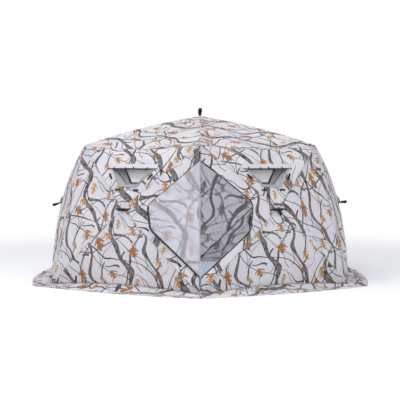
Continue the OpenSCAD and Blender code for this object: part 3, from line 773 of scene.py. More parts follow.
# Hair twigs: the same, without half widths
TWIGS = [
    (0.46, 0.54, 78, 0.40, 0.030, 1.2, 0.0), (0.53, 0.46, 60, 0.34, 0.022, 1.0, 1.0),
    (0.42, 0.18, 96, 0.32, 0.024, 1.1, 3.0), (0.92, 0.56, 72, 0.40, 0.026, 1.2, 0.6),
    (0.97, 0.70, 106, 0.30, 0.022, 1.3, 5.0), (0.03, 0.52, 48, 0.40, 0.030, 1.0, 2.4),
    (0.38, 0.94, 132, 0.34, 0.022, 1.1, 4.4), (0.82, 0.92, 34, 0.36, 0.026, 1.3, 1.8),
    (0.58, 0.20, 66, 0.30, 0.020, 1.0, 0.2), (0.12, 0.10, 20, 0.32, 0.024, 1.2, 3.6),
]
# Leaves: x, y, direction of the tip in degrees, length, half width, lightness
LEAVES = [
    (0.46, 0.36, -102, 0.205, 0.078, 0.25), (0.95, 0.66, -82, 0.185, 0.070, 0.10),
    (0.08, 0.72, -70, 0.150, 0.060, 0.75), (0.30, 0.86, -128, 0.150, 0.058, 0.95),
    (0.58, 0.72, -112, 0.175, 0.066, 0.55), (0.04, 0.16, -92, 0.180, 0.068, 0.35),
    (0.82, 0.12, -64, 0.155, 0.060, 0.60), (0.70, 0.94, -96, 0.110, 0.042, 0.20),
]


def print_point(tree, point, x, y, angle, repeat):
    """Place in the nearest repeat of a motif at x and y, turned to its direction."""
    moved = tree.node("VectorMath", {"operation": "SUBTRACT"},
                      {0: point, 1: (x * repeat, y * repeat, 0)})
    half = repeat / 2
    near = tree.node("VectorMath", {"operation": "WRAP"},
                     {0: moved, 1: (half, half, half), 2: (-half, -half, -half)})
    c, s = math.cos(math.radians(angle)), math.sin(math.radians(angle))
    along = tree.node("VectorMath", {"operation": "DOT_PRODUCT"}, {0: near, 1: (c, s, 0)}, 1)
    across = tree.node("VectorMath", {"operation": "DOT_PRODUCT"}, {0: near, 1: (-s, c, 0)}, 1)
    return along, across


def limb_depth(tree, point, limb, repeat):
    """How deep a place lies inside a curved, tapering limb."""
    x, y, angle, length, sway, waves, phase, start, end = limb
    along, across = print_point(tree, point, x, y, angle, repeat)
    length, sway = length * repeat, sway * repeat
    bend = (along * (2 * math.pi * waves / length) + phase).sin() * sway
    width = along.span(-length / 2, length / 2, start * repeat, end * repeat)
    inside = width - abs(across - bend)
    return inside.least((length / 2 - abs(along)) * 0.5)


def branch_depth(u, v, branch, repeat):
    """How deep a place lies inside a wavy branch that runs on from repeat to repeat."""
    right, up, start, sway, phase, half = branch
    across = ((u * up - v * right) / repeat + (0.5 - start)).part() - 0.5
    turn = (v if up else u) * (2 * math.pi / repeat)
    bend = (turn + phase).sin() * sway + (turn * 2 + phase * 2.3).sin() * (sway * 0.3)
    width = (turn * 2 + phase * 3).sin() * (half * 0.2) + half
    return (width - abs(across / math.hypot(right, up) - bend)) * repeat


def leaf_masks(tree, point, leaf, repeat):
    """Mask of a lobed leaf and the pattern of its veins."""
    x, y, angle, length, half, light = leaf
    along, across = print_point(tree, point, x, y, angle, repeat)
    length, half = length * repeat, half * repeat
    side = abs(across)
    share = along / length
    lobes = ((share - side / length * 0.9) * (2 * math.pi * 2.7) + light * 3).cos()
    body = (1 - share * share * 4).most(0.0) * (1.1 - share * 0.7)
    profile = body * (lobes * 0.36 + 0.64) * half
    inside = profile - side
    mask = inside.ramp(0.0, 0.0022)
    veins = (side.ramp(0.0030, 0.0010)).most(lobes.ramp(-0.2, -0.9) * 0.5)
    return mask, veins.most(inside.ramp(0.0080, 0.0015) * 0.85)


def winter_print(tree, point, soft=False):
    """Colour of the bare-branch winter print; the soft one is its show-through on the inside."""
    c = colours()
    repeat = sizes().repeat
    point = tree.node("VectorRotate", {"rotation_type": "Z_AXIS"},
                      {"Vector": point, "Angle": PRINT_LEAN})
    bent = point
    for scale, reach in ((1.5, 0.26), (6.0, 0.030)):
        warp = tree.node("Noise", {"noise_dimensions": "2D"},
                         {"Vector": point, "Scale": scale, "Detail": 1.0, "Roughness": 0.5}, 1)
        centred = tree.node("VectorMath", {"operation": "SUBTRACT"}, {0: warp, 1: (0.5, 0.5, 0.5)})
        push = tree.node("VectorMath", {"operation": "SCALE"}, {0: centred, 3: reach})
        bent = tree.node("VectorMath", {"operation": "ADD"}, {0: bent, 1: push})
    u, v, _ = tree.split(bent)
    depth = None
    for d in ([branch_depth(u, v, b, repeat) for b in BRANCHES]
              + [limb_depth(tree, bent, limb, repeat) for limb in LIMBS]):
        depth = d if depth is None else depth.blend_most(d, 0.005)
    hair = None
    for x, y, angle, length, sway, waves, phase in TWIGS:
        limb = (x, y, angle, length, sway, waves, phase, 0.0056, 0.0028)
        d = limb_depth(tree, bent, limb, repeat)
        hair = d if hair is None else hair.most(d)
    if soft:
        limbs = depth.ramp(-0.005, 0.006)
        twigs = hair.ramp(-0.002, 0.002) * 0.7
        leaves = None
        for leaf in LEAVES:
            mask = leaf_masks(tree, bent, leaf, repeat)[0]
            leaves = mask if leaves is None else leaves.most(mask)
        return limbs.most(twigs).most(leaves * 0.6)
    patches = tree.noise(point, 3.0, 3.0).ramp(0.42, 0.62)
    colour = tree.mix(patches, tuple(c.ground), tuple(c.haze))
    colour = tree.mix(hair.ramp(-0.0010, 0.0010), colour, tuple(c.twig))
    streaks = tree.noise(tree.vector(u * 150, v * 26, 0.0), 1.0, 3.0, 0.6)
    bark = tree.mix(streaks.ramp(0.42, 0.56), tuple(c.bark), tuple(c.bark_light))
    bark = tree.mix(tree.noise(tree.vector(u * 60, v * 14, 3.0), 1.0, 2.0).ramp(0.50, 0.62) * 0.9,
                    bark, tuple(c.bark_dark))
    bark = tree.mix(depth.ramp(0.0110, 0.0030) * 0.9, bark, tuple(c.bark_dark))
    colour = tree.mix(depth.ramp(-0.0006, 0.0012), colour, bark)
    mottle = tree.noise(point, 75.0, 2.0)
    for leaf in LEAVES:
        mask, veins = leaf_masks(tree, bent, leaf, repeat)
        light = leaf[5]
        body = tree.mix((mottle + (light - 0.5) * 0.35).ramp(0.38, 0.64),
                        tuple(c.leaf), tuple(c.leaf_light))
        body = tree.mix(veins * 0.85, body, tuple(c.leaf_dark))
        colour = tree.mix(mask, colour, body)
    return colour


def weave(tree, point, count, depth):
    """Height of a plain weave with this many threads to the metre."""
    u, v, _ = tree.split(point)
    turn = 2 * math.pi * count
    return ((u * turn).sin() * (v * turn).sin() * 0.5 + 0.5) * depth


def seam_marks(tree):
    """Stitch rows and puckers beside a seam, from the seam coordinates."""
    far, along, _ = tree.split(tree.uv("seam"))
    rows = (abs(far - 0.006)).ramp(0.0014, 0.0006).most(abs(far - 0.014).ramp(0.0014, 0.0006))
    dashes = (along * 240).part().ramp(0.25, 0.40)
    puckers = tree.noise(tree.vector(along * 34, far * 5, 0.0), 1.0, 2.0) * far.ramp(0.16, 0.01)
    return rows * dashes, puckers, far


def packing_creases(tree, point):
    """Faint square creases that the fabric keeps from its bag."""
    u, v, _ = tree.split(point)
    return (abs((u * 3.1).part() - 0.5).ramp(0.018, 0.0)
            .most(abs((v * 3.7).part() - 0.5).ramp(0.022, 0.0)))


def printed_fabric():
    """Winter print on coated polyester, with stitched seams and painted shade darkening the fabric
    along each seam's crease.
    """
    t = Tree("printed_fabric")
    point = t.uv("print")
    stitches, puckers, far = seam_marks(t)
    colour = winter_print(t, point)
    colour = t.mix(stitches * 0.75, colour, (0.30, 0.29, 0.32))
    # Painted shade: the colour darkens within 3.5 mm of every panel edge, standing in for the shade in
    # the seam creases.
    fold = t.mix(far.ramp(0.0035, 0.0005) * 0.35, colour, (0.20, 0.19, 0.22))
    height = weave(t, point, 620, 0.22) + puckers * 6.0 + far.ramp(0.02, 0.012) * 1.1 - stitches * 0.8
    height = height + t.noise(point, 7.0, 4.0) * 5.5 + packing_creases(t, point) * 2.2
    sheen = t.noise(point, 5.0, 3.0).span(0.3, 0.7, 0.62, 0.78)
    front = t.surface(base_color=fold, roughness=sheen, sheen_weight=0.04, sheen_roughness=0.5,
                      specular_ior_level=0.2, normal=t.bump(height, 0.0010))
    through = t.node("BsdfTranslucent", None, {"Color": THROUGH_LIGHT})
    bright = t.node("RGBToBW", None, {0: fold})
    return t.finish(t.blend(bright.ramp(0.12, 0.85) * 0.56 + 0.05, front, through))


def lining():
    """Coated inner side: pale, with the print showing through."""
    t = Tree("lining")
    point = t.uv("print")
    stitches, puckers, far = seam_marks(t)
    show = winter_print(t, point, soft=True)
    colour = t.mix(show * 0.28, tuple(colours().lining), (0.24, 0.23, 0.26))
    colour = t.mix(far.ramp(0.018, 0.014) * 0.45, colour, (0.34, 0.34, 0.38))
    height = (weave(t, point, 620, 0.18) + puckers * 6.0 - stitches * 0.6
              + t.noise(point, 7.0, 4.0) * 5.5)
    front = t.surface(base_color=colour, roughness=0.52, coat_weight=0.06, coat_roughness=0.4,
                      specular_ior_level=0.4, normal=t.bump(height, 0.0010))
    through = t.node("BsdfTranslucent", None, {"Color": THROUGH_LIGHT})
    return t.finish(t.blend(0.64, front, through))


def plain_cloth(name, colour, dark, count, rough, dots=False):
    """Woven trim cloth; with dots it is a fine open mesh."""
    t = Tree(name)
    point = t.uv("print")
    far, along, _ = t.split(t.uv("seam"))
    threads = weave(t, point, count, 1.0)
    shade = t.noise(point, 18.0, 3.0).ramp(0.35, 0.7)
    body = t.mix(shade * 0.35, tuple(colour), dark)
    body = t.mix(threads.ramp(0.75 if dots else 0.9, 0.2) * (0.5 if dots else 0.22), body, dark)
    stitch = abs(far - 0.004).ramp(0.0011, 0.0005) * (along * 260).part().ramp(0.3, 0.42)
    body = t.mix(stitch * 0.5, body, dark)
    height = threads * 0.5 - stitch * 0.7 + t.noise(point, 30.0, 3.0) * 1.4
    rough_map = shade.span(0, 1, rough - 0.06, rough + 0.06)
    return t.finish(t.surface(base_color=body, roughness=rough_map, sheen_weight=0.1,
                              normal=t.bump(height, 0.0006)))


def webbing():
    """Black polypropylene webbing with a chevron weave."""
    t = Tree("black_webbing")
    u, v, _ = t.split(t.uv("print"))
    ribs = (v * 2600 + abs((u * 250).part() - 0.5) * 5.0).sin()
    edge = t.split(t.uv("seam"))[0].ramp(0.003, 0.001)
    shade = ribs.ramp(-0.6, 0.8)
    body = t.mix(shade * 0.5, tuple(colours().webbing), (0.017, 0.017, 0.020))
    body = t.mix(edge * 0.4, body, (0.024, 0.024, 0.028))
    return t.finish(t.surface(base_color=body, roughness=shade.span(0, 1, 0.78, 0.64),
                              sheen_weight=0.03, specular_ior_level=0.25,
                              normal=t.bump(ribs * 0.5 + edge, 0.0005)))


def zip_tape():
    """Black coil zip: woven tape with the coil along its middle."""
    t = Tree("zip_tape")
    u, v, _ = t.split(t.uv("print"))
    middle = abs(u - sizes().zip_w / 2)
    coil = middle.ramp(0.0035, 0.0025)
    teeth = (v * 2800).sin()
    shade = t.noise(t.vector(u * 900, v * 300), 1.0, 2.0).ramp(0.35, 0.65)
    body = t.mix(shade * 0.4, tuple(colours().webbing), (0.024, 0.024, 0.027))
    body = t.mix(coil * teeth.ramp(-0.2, 0.6) * 0.7, body, (0.05, 0.05, 0.055))
    return t.finish(t.surface(base_color=body, roughness=coil.span(0, 1, 0.75, 0.35),
                              normal=t.bump(coil * (teeth * 0.5 + 1.2) + shade * 0.2, 0.0007)))


def film():
    """Clear vinyl with a faint tint and soft waves."""
    t = Tree("clear_film")
    point = t.uv("print")
    waves = t.noise(point, 9.0, 2.0)
    haze = t.noise(point, 22.0, 3.0).ramp(0.4, 0.7)
    body = t.mix(haze * 0.3, tuple(colours().film), (0.84, 0.85, 0.83))
    front = t.surface(base_color=body, roughness=haze.span(0, 1, 0.12, 0.22), coat_weight=0.6,
                      coat_roughness=0.08, specular_ior_level=0.6, normal=t.bump(waves, 0.004))
    clear = t.node("BsdfTransparent", None, {"Color": (0.95, 0.96, 0.94)})
    return t.finish(t.blend(0.15, front, clear))


def moulded(name, colour, rough, grain):
    """Moulded plastic or glass fibre: fine grain, scuffs and paler worn patches."""
    t = Tree(name)
    point = t.place()
    scuff = t.noise(point, 34.0, 5.0, 0.7).ramp(0.56, 0.74)
    fine = t.noise(point, grain, 2.0)
    body = t.mix(scuff * 0.35, tuple(colour), (0.11, 0.11, 0.12))
    wear = scuff * 0.12 + fine * 0.10 + (rough - 0.05)
    return t.finish(t.surface(base_color=body, roughness=wear, specular_ior_level=0.5,
                              normal=t.bump(fine + scuff * 0.5, 0.0003)))


def floor_finish():
    """Matt floor that the camera sees fade to white far away, with a painted blue glow inside the tent:
    painted light that brightens the shaded floor there, tinted like ice.
    """
    t = Tree("studio_floor")
    point = t.place()
    soft = t.noise(point, 0.35, 2.0).ramp(0.3, 0.7)
    body = t.mix(soft * 0.25, tuple(colours().floor), (0.86, 0.87, 0.89))
    matt = t.surface(base_color=body, roughness=0.9, specular_ior_level=0.1)
    away = t.node("VectorMath", {"operation": "LENGTH"}, {0: point}, 1)
    seen = t.node("LightPath")
    # Painted light: within 1.9 m of the middle the camera sees the floor mixed 40 % with a pale blue
    # glow, lighting the shaded floor inside the tent.
    matt = t.blend(away.ramp(1.90, 1.70) * 0.4 * seen, matt, t.glow((0.54, 0.71, 0.96)))
    return t.finish(t.blend(away.ramp(3.0, 8.0) * seen, matt, t.glow((1.0, 1.0, 1.0))))


MATERIALS = {}


def material(name):
    """The finish of that name, made once."""
    c = colours()
    makers = {
        "printed_fabric": printed_fabric,
        "lining": lining,
        # Painted shade: the white cloth of the visors, rims and bead takes a grey colour.
        "white_cloth": lambda: plain_cloth("white_cloth", c.white_cloth, (0.55, 0.55, 0.60), 500, 0.6),
        "mesh": lambda: plain_cloth("grey_mesh", c.mesh_grey, (0.17, 0.17, 0.19), 330, 0.7, dots=True),
        "webbing": webbing,
        "pocket": lambda: plain_cloth("black_nylon", c.webbing, (0.05, 0.05, 0.06), 420, 0.55),
        "zip_tape": zip_tape,
        "film": film,
        "plastic": lambda: moulded("hub_plastic", c.plastic, 0.42, 900.0),
        "rod": lambda: moulded("glass_fibre_rod", c.rod, 0.30, 1400.0),
        "floor": floor_finish,
    }
    if name not in MATERIALS:
        MATERIALS[name] = makers[name]()
    return MATERIALS[name]


# Fabric surfaces


def folds(facet, a, b, edge, seed):
    """Outward shift of the fabric: fans of soft folds from the hub and the corners."""
    s, t = facet.st(a, b)
    calm = 1 - math.exp(-max(edge, 0) / 0.06)
    fan = noise.noise(Vector((t * 7 + seed, s * 1.1, seed * 1.7))) * math.exp(-s * 1.4) * 0.010
    shift = fan + noise.noise(Vector((a * 1.7 + seed * 3.3, b * 1.7, seed))) * 0.006
    for n, (ca, cb) in enumerate((facet.flat(1, 0), facet.flat(1, 1))):
        r = math.hypot(a - ca, b - cb)
        angle = math.atan2(b - cb, a - ca)
        shift += noise.noise(Vector((angle * 7, r * 1.3, seed + n * 5.1))) * math.exp(-r / 0.45) * 0.012
    slack = -0.010 * (1 - math.exp(-max(edge, 0) / 0.25))
    return calm * shift + slack


def facet_patch(facet, seed, hole=None, spacing=None):
    """Points, triangles, print and seam coordinates of a fabric panel."""
    spacing = spacing or sizes().grid
    corners = facet.corners()
    flat, faces = fill(facet.border(spacing), corners, hole, spacing)
    edge, along = depth_in(flat, corners)
    if hole:
        ring, ring_along = depth_in(flat, hole)
        along = np.where(-ring < edge, ring_along, along)
        edge = np.minimum(edge, -ring)
    points, prints, seams = [], [], []
    repeat = sizes().repeat
    for (a, b), d, l in zip(flat, edge, along):
        s, t = facet.st(a, b)
        p = facet.point(s, t)
        prints.append((p.dot(facet.print_x) + facet.shift[0] * repeat,
                       p.dot(facet.print_y) + facet.shift[1] * repeat))
        seams.append((max(d, 0.0), l))
        points.append(p + facet.out * folds(facet, a, b, d, seed))
    a, b, c = (points[i] for i in faces[0])
    if (b - a).cross(c - a).dot(facet.out) < 0:
        faces = [f[::-1] for f in faces]
    return points, faces, prints, seams


def facet_area(facets):
    return sum(f.width * f.height / 2 for f in facets)


def window_hole(facet):
    """The window's opening in the flat triangle of a top panel."""
    z = sizes()
    ca, cb = facet.flat(0.5, 0.5)
    return [(ca - x, cb - y) for x, y in trapezoid(z.window_top, z.window_bottom, z.window_h, 0.003)]


def door_hole(facet):
    """The doorway in the flat triangle of the panel beside the front corner."""
    outline = [(-0.03, DOOR_TOP + 0.02)] + door_edge(0) + [(-0.03, DOOR_SILL - 0.027)]
    flat = [(facet.width - v, u) for u, v in outline]
    return flat if area_sign(flat) > 0 else flat[::-1]


class TENT_OT_walls(bpy.types.Operator):
    """Six popped-out walls, each one sheet sewn of four panels"""

    bl_idname = "tent.walls"
    bl_label = "Walls"

    def execute(self, context):
        nodes = {0: ["wall_front_right_top", "wall_front_right_side", "wall_front_right_base",
                     "door_surround_upper", "door_surround_lower"],
                 5: ["wall_front_left_top", "wall_front_left_side", "wall_front_left_base",
                     "wall_front_left_corner"]}
        for k, name in enumerate(WALL_NAMES):
            facets = wall_facets(k)
            patches = []
            for i, facet in enumerate(facets):
                hole = None
                if i == 0 and k in WINDOW_WALLS:
                    hole = window_hole(facet)
                if i == 2 and k == 0:
                    hole = door_hole(facet)
                patches.append(facet_patch(facet, k * 4.7 + i * 1.3, hole))
            wall = cloth("wall_" + name + "_fabric", patches, sizes().cloth, PRINTED)
            area = facet_area(facets) - (0.10 if k in WINDOW_WALLS else 0) - (0.51 if k == 0 else 0)
            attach(wall, "shelter")
            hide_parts(*nodes.get(k, ["wall_" + name]))
        return {"FINISHED"}


class TENT_OT_roof(bpy.types.Operator):
    """Roof sheet of six gores, with its cap at the peak"""

    bl_idname = "tent.roof"
    bl_label = "Roof"

    def execute(self, context):
        facets = [roof_facet(k) for k in range(6)]
        patches = [facet_patch(f, 40 + k * 2.9) for k, f in enumerate(facets)]
        roof = cloth("roof_fabric", patches, sizes().cloth, PRINTED)
        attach(roof, "shelter")
        facet_area(facets)
        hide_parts(*["roof_" + n for n in WALL_NAMES])
        self.cap()
        return {"FINISHED"}

    def cap(self):
        z = sizes()
        r_in, r_out, rows, cols = 0.0075, 0.100, 8, 72
        ridge = (z.apex_h - z.eave_h - 4 * z.roof_bow * (1 - r_out / z.eave_r)) / z.eave_r

        def point(i, j):
            r = r_in + (r_out - r_in) * i
            angle = j * 360
            drop = ridge * r + 0.0012 * math.cos(math.radians(angle * 6)) * i
            return polar(r, angle, z.apex_h + 0.0032 - drop)

        patch = grid_patch(point, rows, cols, to_print=lambda p: (p.x, p.y),
                           to_seam=lambda i, j: ((r_out - r_in) * (1 - i), j * 0.63))
        cap = cloth("roof_cap_cloth", [patch], 0.0018, PRINTED, out=UP)
        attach(cap, "shelter")
        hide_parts("roof_cap")


def skirt_point(k, w, t):
    """Place on the snow skirt of wall k: w from the hem out to its edge, t along it."""
    z = sizes()
    hem = wall_facets(k)[1].point(1, t) + polar(0.0006, wall_a(k), 0)
    tips = [polar(z.skirt_tip_r, corner_a(k + i), 0.003) for i in (0, 1)]
    outer = tips[0].lerp(tips[1], t) + polar(z.skirt_belly * (1 - (2 * t - 1) ** 2), wall_a(k), 0)
    p = hem.lerp(outer, w)
    share = 0.42
    top = max(hem.z, 0.003)
    level = top + (0.003 - top) * math.sin(math.pi / 2 * min(w / share, 1))
    run = t * 2.1 + k * 5
    ripple = (noise.noise(Vector((run * 5.5, w * 1.6, k * 1.0)))
              + 0.5 * noise.noise(Vector((run * 13, w * 2.5, 9.0))))
    ends = min(1, t * 9, (1 - t) * 9)
    lift = max(ripple, 0) * 0.022 * min(w * 4, 1) * ends
    return Vector((p.x, p.y, max(level + lift, 0.0022)))


class TENT_OT_skirt(bpy.types.Operator):
    """Snow skirt that lies on the ground round the hem"""

    bl_idname = "tent.skirt"
    bl_label = "Snow skirt"

    def execute(self, context):
        patches = []
        for k in range(6):
            out, side = polar(1, wall_a(k), 0), wall_side(k)
            patches.append(grid_patch(
                lambda w, t: skirt_point(k, w, t), 14, 84,
                to_print=lambda p: (p.dot(out) + k * 0.21, p.dot(side) + k * 0.17),
                to_seam=lambda w, t: (min(1 - w, w) * 0.24, t * 2.1)))
        skirt = cloth("snow_skirt_fabric", patches, 0.0016, PRINTED, out=UP)
        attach(skirt, "shelter")
        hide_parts("snow_skirt")
        return {"FINISHED"}


def trapezoid_ring(outline, place, steps, z, up=0.0, belly=0.0):
    """Points round a trapezoid at a depth, with each side cut into steps and sagging back."""
    ring = []
    for (x0, y0), (x1, y1) in zip(outline, outline[1:] + outline[:1]):
        for i in range(steps):
            f = i / steps
            ring.append(place.at(x0 + (x1 - x0) * f, y0 + (y1 - y0) * f + up,
                                 z - belly * math.sin(math.pi * f)))
    return ring


def funnel_outline(share, grow):
    """Outline of the funnel, from the window's rim at 0 to the film at 1."""
    z = sizes()
    rim = trapezoid(z.window_top, z.window_bottom, z.window_h, grow)
    film_edge = trapezoid(z.film_top, z.film_bottom, z.film_h, grow)
    return [(a[0] + (b[0] - a[0]) * share, a[1] + (b[1] + z.film_up - a[1]) * share)
            for a, b in zip(rim, film_edge)]


def ring_patch(rings):
    """A closed band through rings of equally many points."""
    count = len(rings[0])
    points, prints, seams = [], [], []
    for i, ring in enumerate(rings):
        run = 0.0
        for j in range(count + 1):
            p = ring[j % count]
            if j:
                run += (p - ring[j - 1]).length
            points.append(p)
            prints.append((run, i / (len(rings) - 1) * 0.15))
            seams.append((min(i, len(rings) - 1 - i) / (len(rings) - 1) * 0.15, run))
    faces = []
    for i in range(len(rings) - 1):
        for j in range(count):
            a = i * (count + 1) + j
            f = [a, a + 1, a + count + 2, a + count + 1]
            faces.append(f[::-1])
    return points, faces, prints, seams


class TENT_OT_windows(bpy.types.Operator):
    """Windows: mesh funnel, clear film with its binding, rain visor and tie tabs"""

    bl_idname = "tent.windows"
    bl_label = "Windows"

    def execute(self, context):
        films, funnels, visors, tabs, trims = [], [], [], [], []
        for k in WINDOW_WALLS:
            place = window_place(k)
            funnels.append(self.funnel(k, place))
            films.append(self.film(k, place))
            trims += self.binding(k, place)
            visors.append(self.visor(k, place))
            trims += self.visor_trim(k, place)
            tabs += self.tabs(k)
        film = join("window_film_sheets", films)
        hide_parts("window_films")
        funnel = join("window_funnel_mesh", funnels)
        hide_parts("window_funnels")
        visor = join("window_visor_cloth", visors)
        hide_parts("window_visors")
        tab = join("window_tab_webbing", tabs)
        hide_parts("window_tabs")
        trim = join("window_bindings", trims)
        for piece in (film, funnel, visor, tab, trim):
            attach(piece, "shelter")
        return {"FINISHED"}

    def funnel(self, k, place):
        z = sizes()
        depths = [(0.010, 0.0), (0.0, 0.0), (-FUNNEL_LIP, 0.0)]
        depths += [(-FUNNEL_LIP - (z.film_back - FUNNEL_LIP) * i / 9, i / 9) for i in range(1, 10)]
        rings = []
        for depth, share in depths:
            belly = math.sin(math.pi * share) * FUNNEL_SAG
            rings.append(trapezoid_ring(funnel_outline(share, 0.0015), place, 14, depth, belly=belly))
        return cloth("funnel_%d" % k, [ring_patch(rings)], 0.0016, ["mesh"], 0.0)

    def film(self, k, place):
        z = sizes()
        outline = trapezoid(z.film_top, z.film_bottom, z.film_h, 0.003)

        def point(i, j):
            left = [outline[0][n] + (outline[3][n] - outline[0][n]) * i for n in (0, 1)]
            right = [outline[1][n] + (outline[2][n] - outline[1][n]) * i for n in (0, 1)]
            x, y = left[0] + (right[0] - left[0]) * j, left[1]
            calm = math.sin(math.pi * i) * math.sin(math.pi * j)
            wave = noise.noise(Vector((x * 14, y * 14, k * 3.0))) * 0.006 * calm
            return place.at(x, y + z.film_up, -z.film_back - 0.0008 + wave)

        return cloth("film_%d" % k, [grid_patch(point, 16, 24)], 0.0008, ["film"])

    def binding(self, k, place):
        """Black tape round the film, a black seam down each side of the funnel and a pale rim."""
        z = sizes()
        parts = []
        ring = [trapezoid_ring(trapezoid(z.film_top, z.film_bottom, z.film_h, grow), place, 12,
                               -z.film_back + ahead, z.film_up)
                for grow, ahead in ((0.002, 0.004), (-0.012, 0.0026))]
        parts.append(cloth("film_tape_%d" % k, [ring_patch(ring)], 0.0024, ["webbing"], 0.0))
        for side, corners in enumerate(((3, 0), (2, 1))):
            seam = []
            for i in range(13):
                share = 0.22 + 0.43 * i / 12
                outline = funnel_outline(share, 0.0)
                (x0, y0), (x1, y1) = [outline[n] for n in corners]
                sag = math.sin(math.pi * share) * FUNNEL_SAG * math.sin(math.pi * i / 12)
                seam.append(place.at(x0 + (x1 - x0) * i / 12, y0 + (y1 - y0) * i / 12,
                                     0.0012 - sag - FUNNEL_LIP - (z.film_back - FUNNEL_LIP) * share))
            across = (seam[-1] - seam[0]).cross(place.z + place.x * (-0.6 if side else 0.6))
            parts.append(ribbon(seam, [across] * 13, 0.008, 0.0022, "funnel_seam_%d_%d" % (k, side),
                                "webbing"))
        rim = trapezoid(z.window_top, z.window_bottom, z.window_h, 0.002)
        turns = [place.at(*rim[n], 0.0115) for n in (3, 0, 1, 2)]
        path = [a.lerp(b, i / 10) for a, b in zip(turns, turns[1:]) for i in range(10)] + turns[-1:]
        parts.append(tube(path, 0.0032, "rim_%d" % k, "white_cloth"))
        return parts

    def visor_point(self, k, place, i, j, lift=0.0):
        """i from the visor's free lower edge up to its seam, j along it."""
        z = sizes()
        tilt = math.radians(8.1)
        x, y = (j - 0.5) * z.visor_w, i * z.visor_h
        wave = noise.noise(Vector((x * 11, y * 6, k * 2.0))) * 0.0035 * (1 - i) + 0.002 * (1 - i) ** 2
        out = 0.0115 + 0.006 * math.sin(tilt) - y * math.sin(tilt) + wave
        return place.at(x, z.window_h / 2 - 0.022 + y * math.cos(tilt), out + lift)

    def visor(self, k, place):
        patch = grid_patch(lambda i, j: self.visor_point(k, place, i, j), 10, 60)
        return cloth("visor_%d" % k, [patch], 0.0016, ["white_cloth"], 0.0, out=place.z)

    def visor_trim(self, k, place):
        """Dark hem along the visor's lower edge and the tacks that hold its folds."""
        hem = [self.visor_point(k, place, 0.045, j / 60, 0.0022) for j in range(61)]
        made = [ribbon(hem, [place.y] * 61, 0.009, 0.0016, "visor_hem_%d" % k, "webbing")]
        for n, (j, top) in enumerate(((0.12, 0.40), (0.36, 0.30), (0.52, 0.42), (0.80, 0.32))):
            tack = [self.visor_point(k, place, 0.05 + (top - 0.05) * i / 4, j, 0.0032)
                    for i in range(5)]
            made.append(ribbon(tack, [place.x] * 5, 0.015, 0.0014, "visor_tack_%d_%d" % (k, n),
                               "webbing"))
        return made

    def tabs(self, k):
        """Webbing tabs beside and below the window: across and up as shares of its size, and turn."""
        z = sizes()
        facet = wall_facets(k)[0]
        run = facet.height
        made = []
        for n, (across, up, turn) in enumerate(((-0.66, 0, 36), (0.65, 0, -32),
                                                (-0.30, -0.72, 90), (0.30, -0.72, 90))):
            x = across * (z.window_top + z.window_bottom) / 2
            s = 0.5 + up * z.window_h / run
            place = on_facet(facet, s, 0.5 - x / (s * facet.width))
            c, d = math.cos(math.radians(turn)), math.sin(math.radians(turn))
            half = 0.044 if abs(up) < 0.1 else 0.038
            knots = [(-half, 0.0016), (-half * 0.8, 0.0018), (0.0, 0.0065), (half * 0.8, 0.0018),
                     (half, 0.0016)]
            ca, cb = facet.flat(s, 0.5 - x / (s * facet.width))
            path = []
            for p in curve_points([(a, b, 0) for a, b in knots], 15):
                spot = (ca + d * p.x, cb - c * p.x)
                edge = min(depth_in([spot], facet.corners())[0][0],
                           -depth_in([spot], window_hole(facet))[0][0])
                height = p.y + 0.005 + folds(facet, *spot, edge, k * 4.7)
                path.append(place.at(-d * p.x, c * p.x, height))
            side = place.x * c + place.y * d
            made.append(ribbon(path, [side] * len(path), 0.022, 0.0016, "tab_%d_%d" % (k, n),
                               "webbing"))
        return made


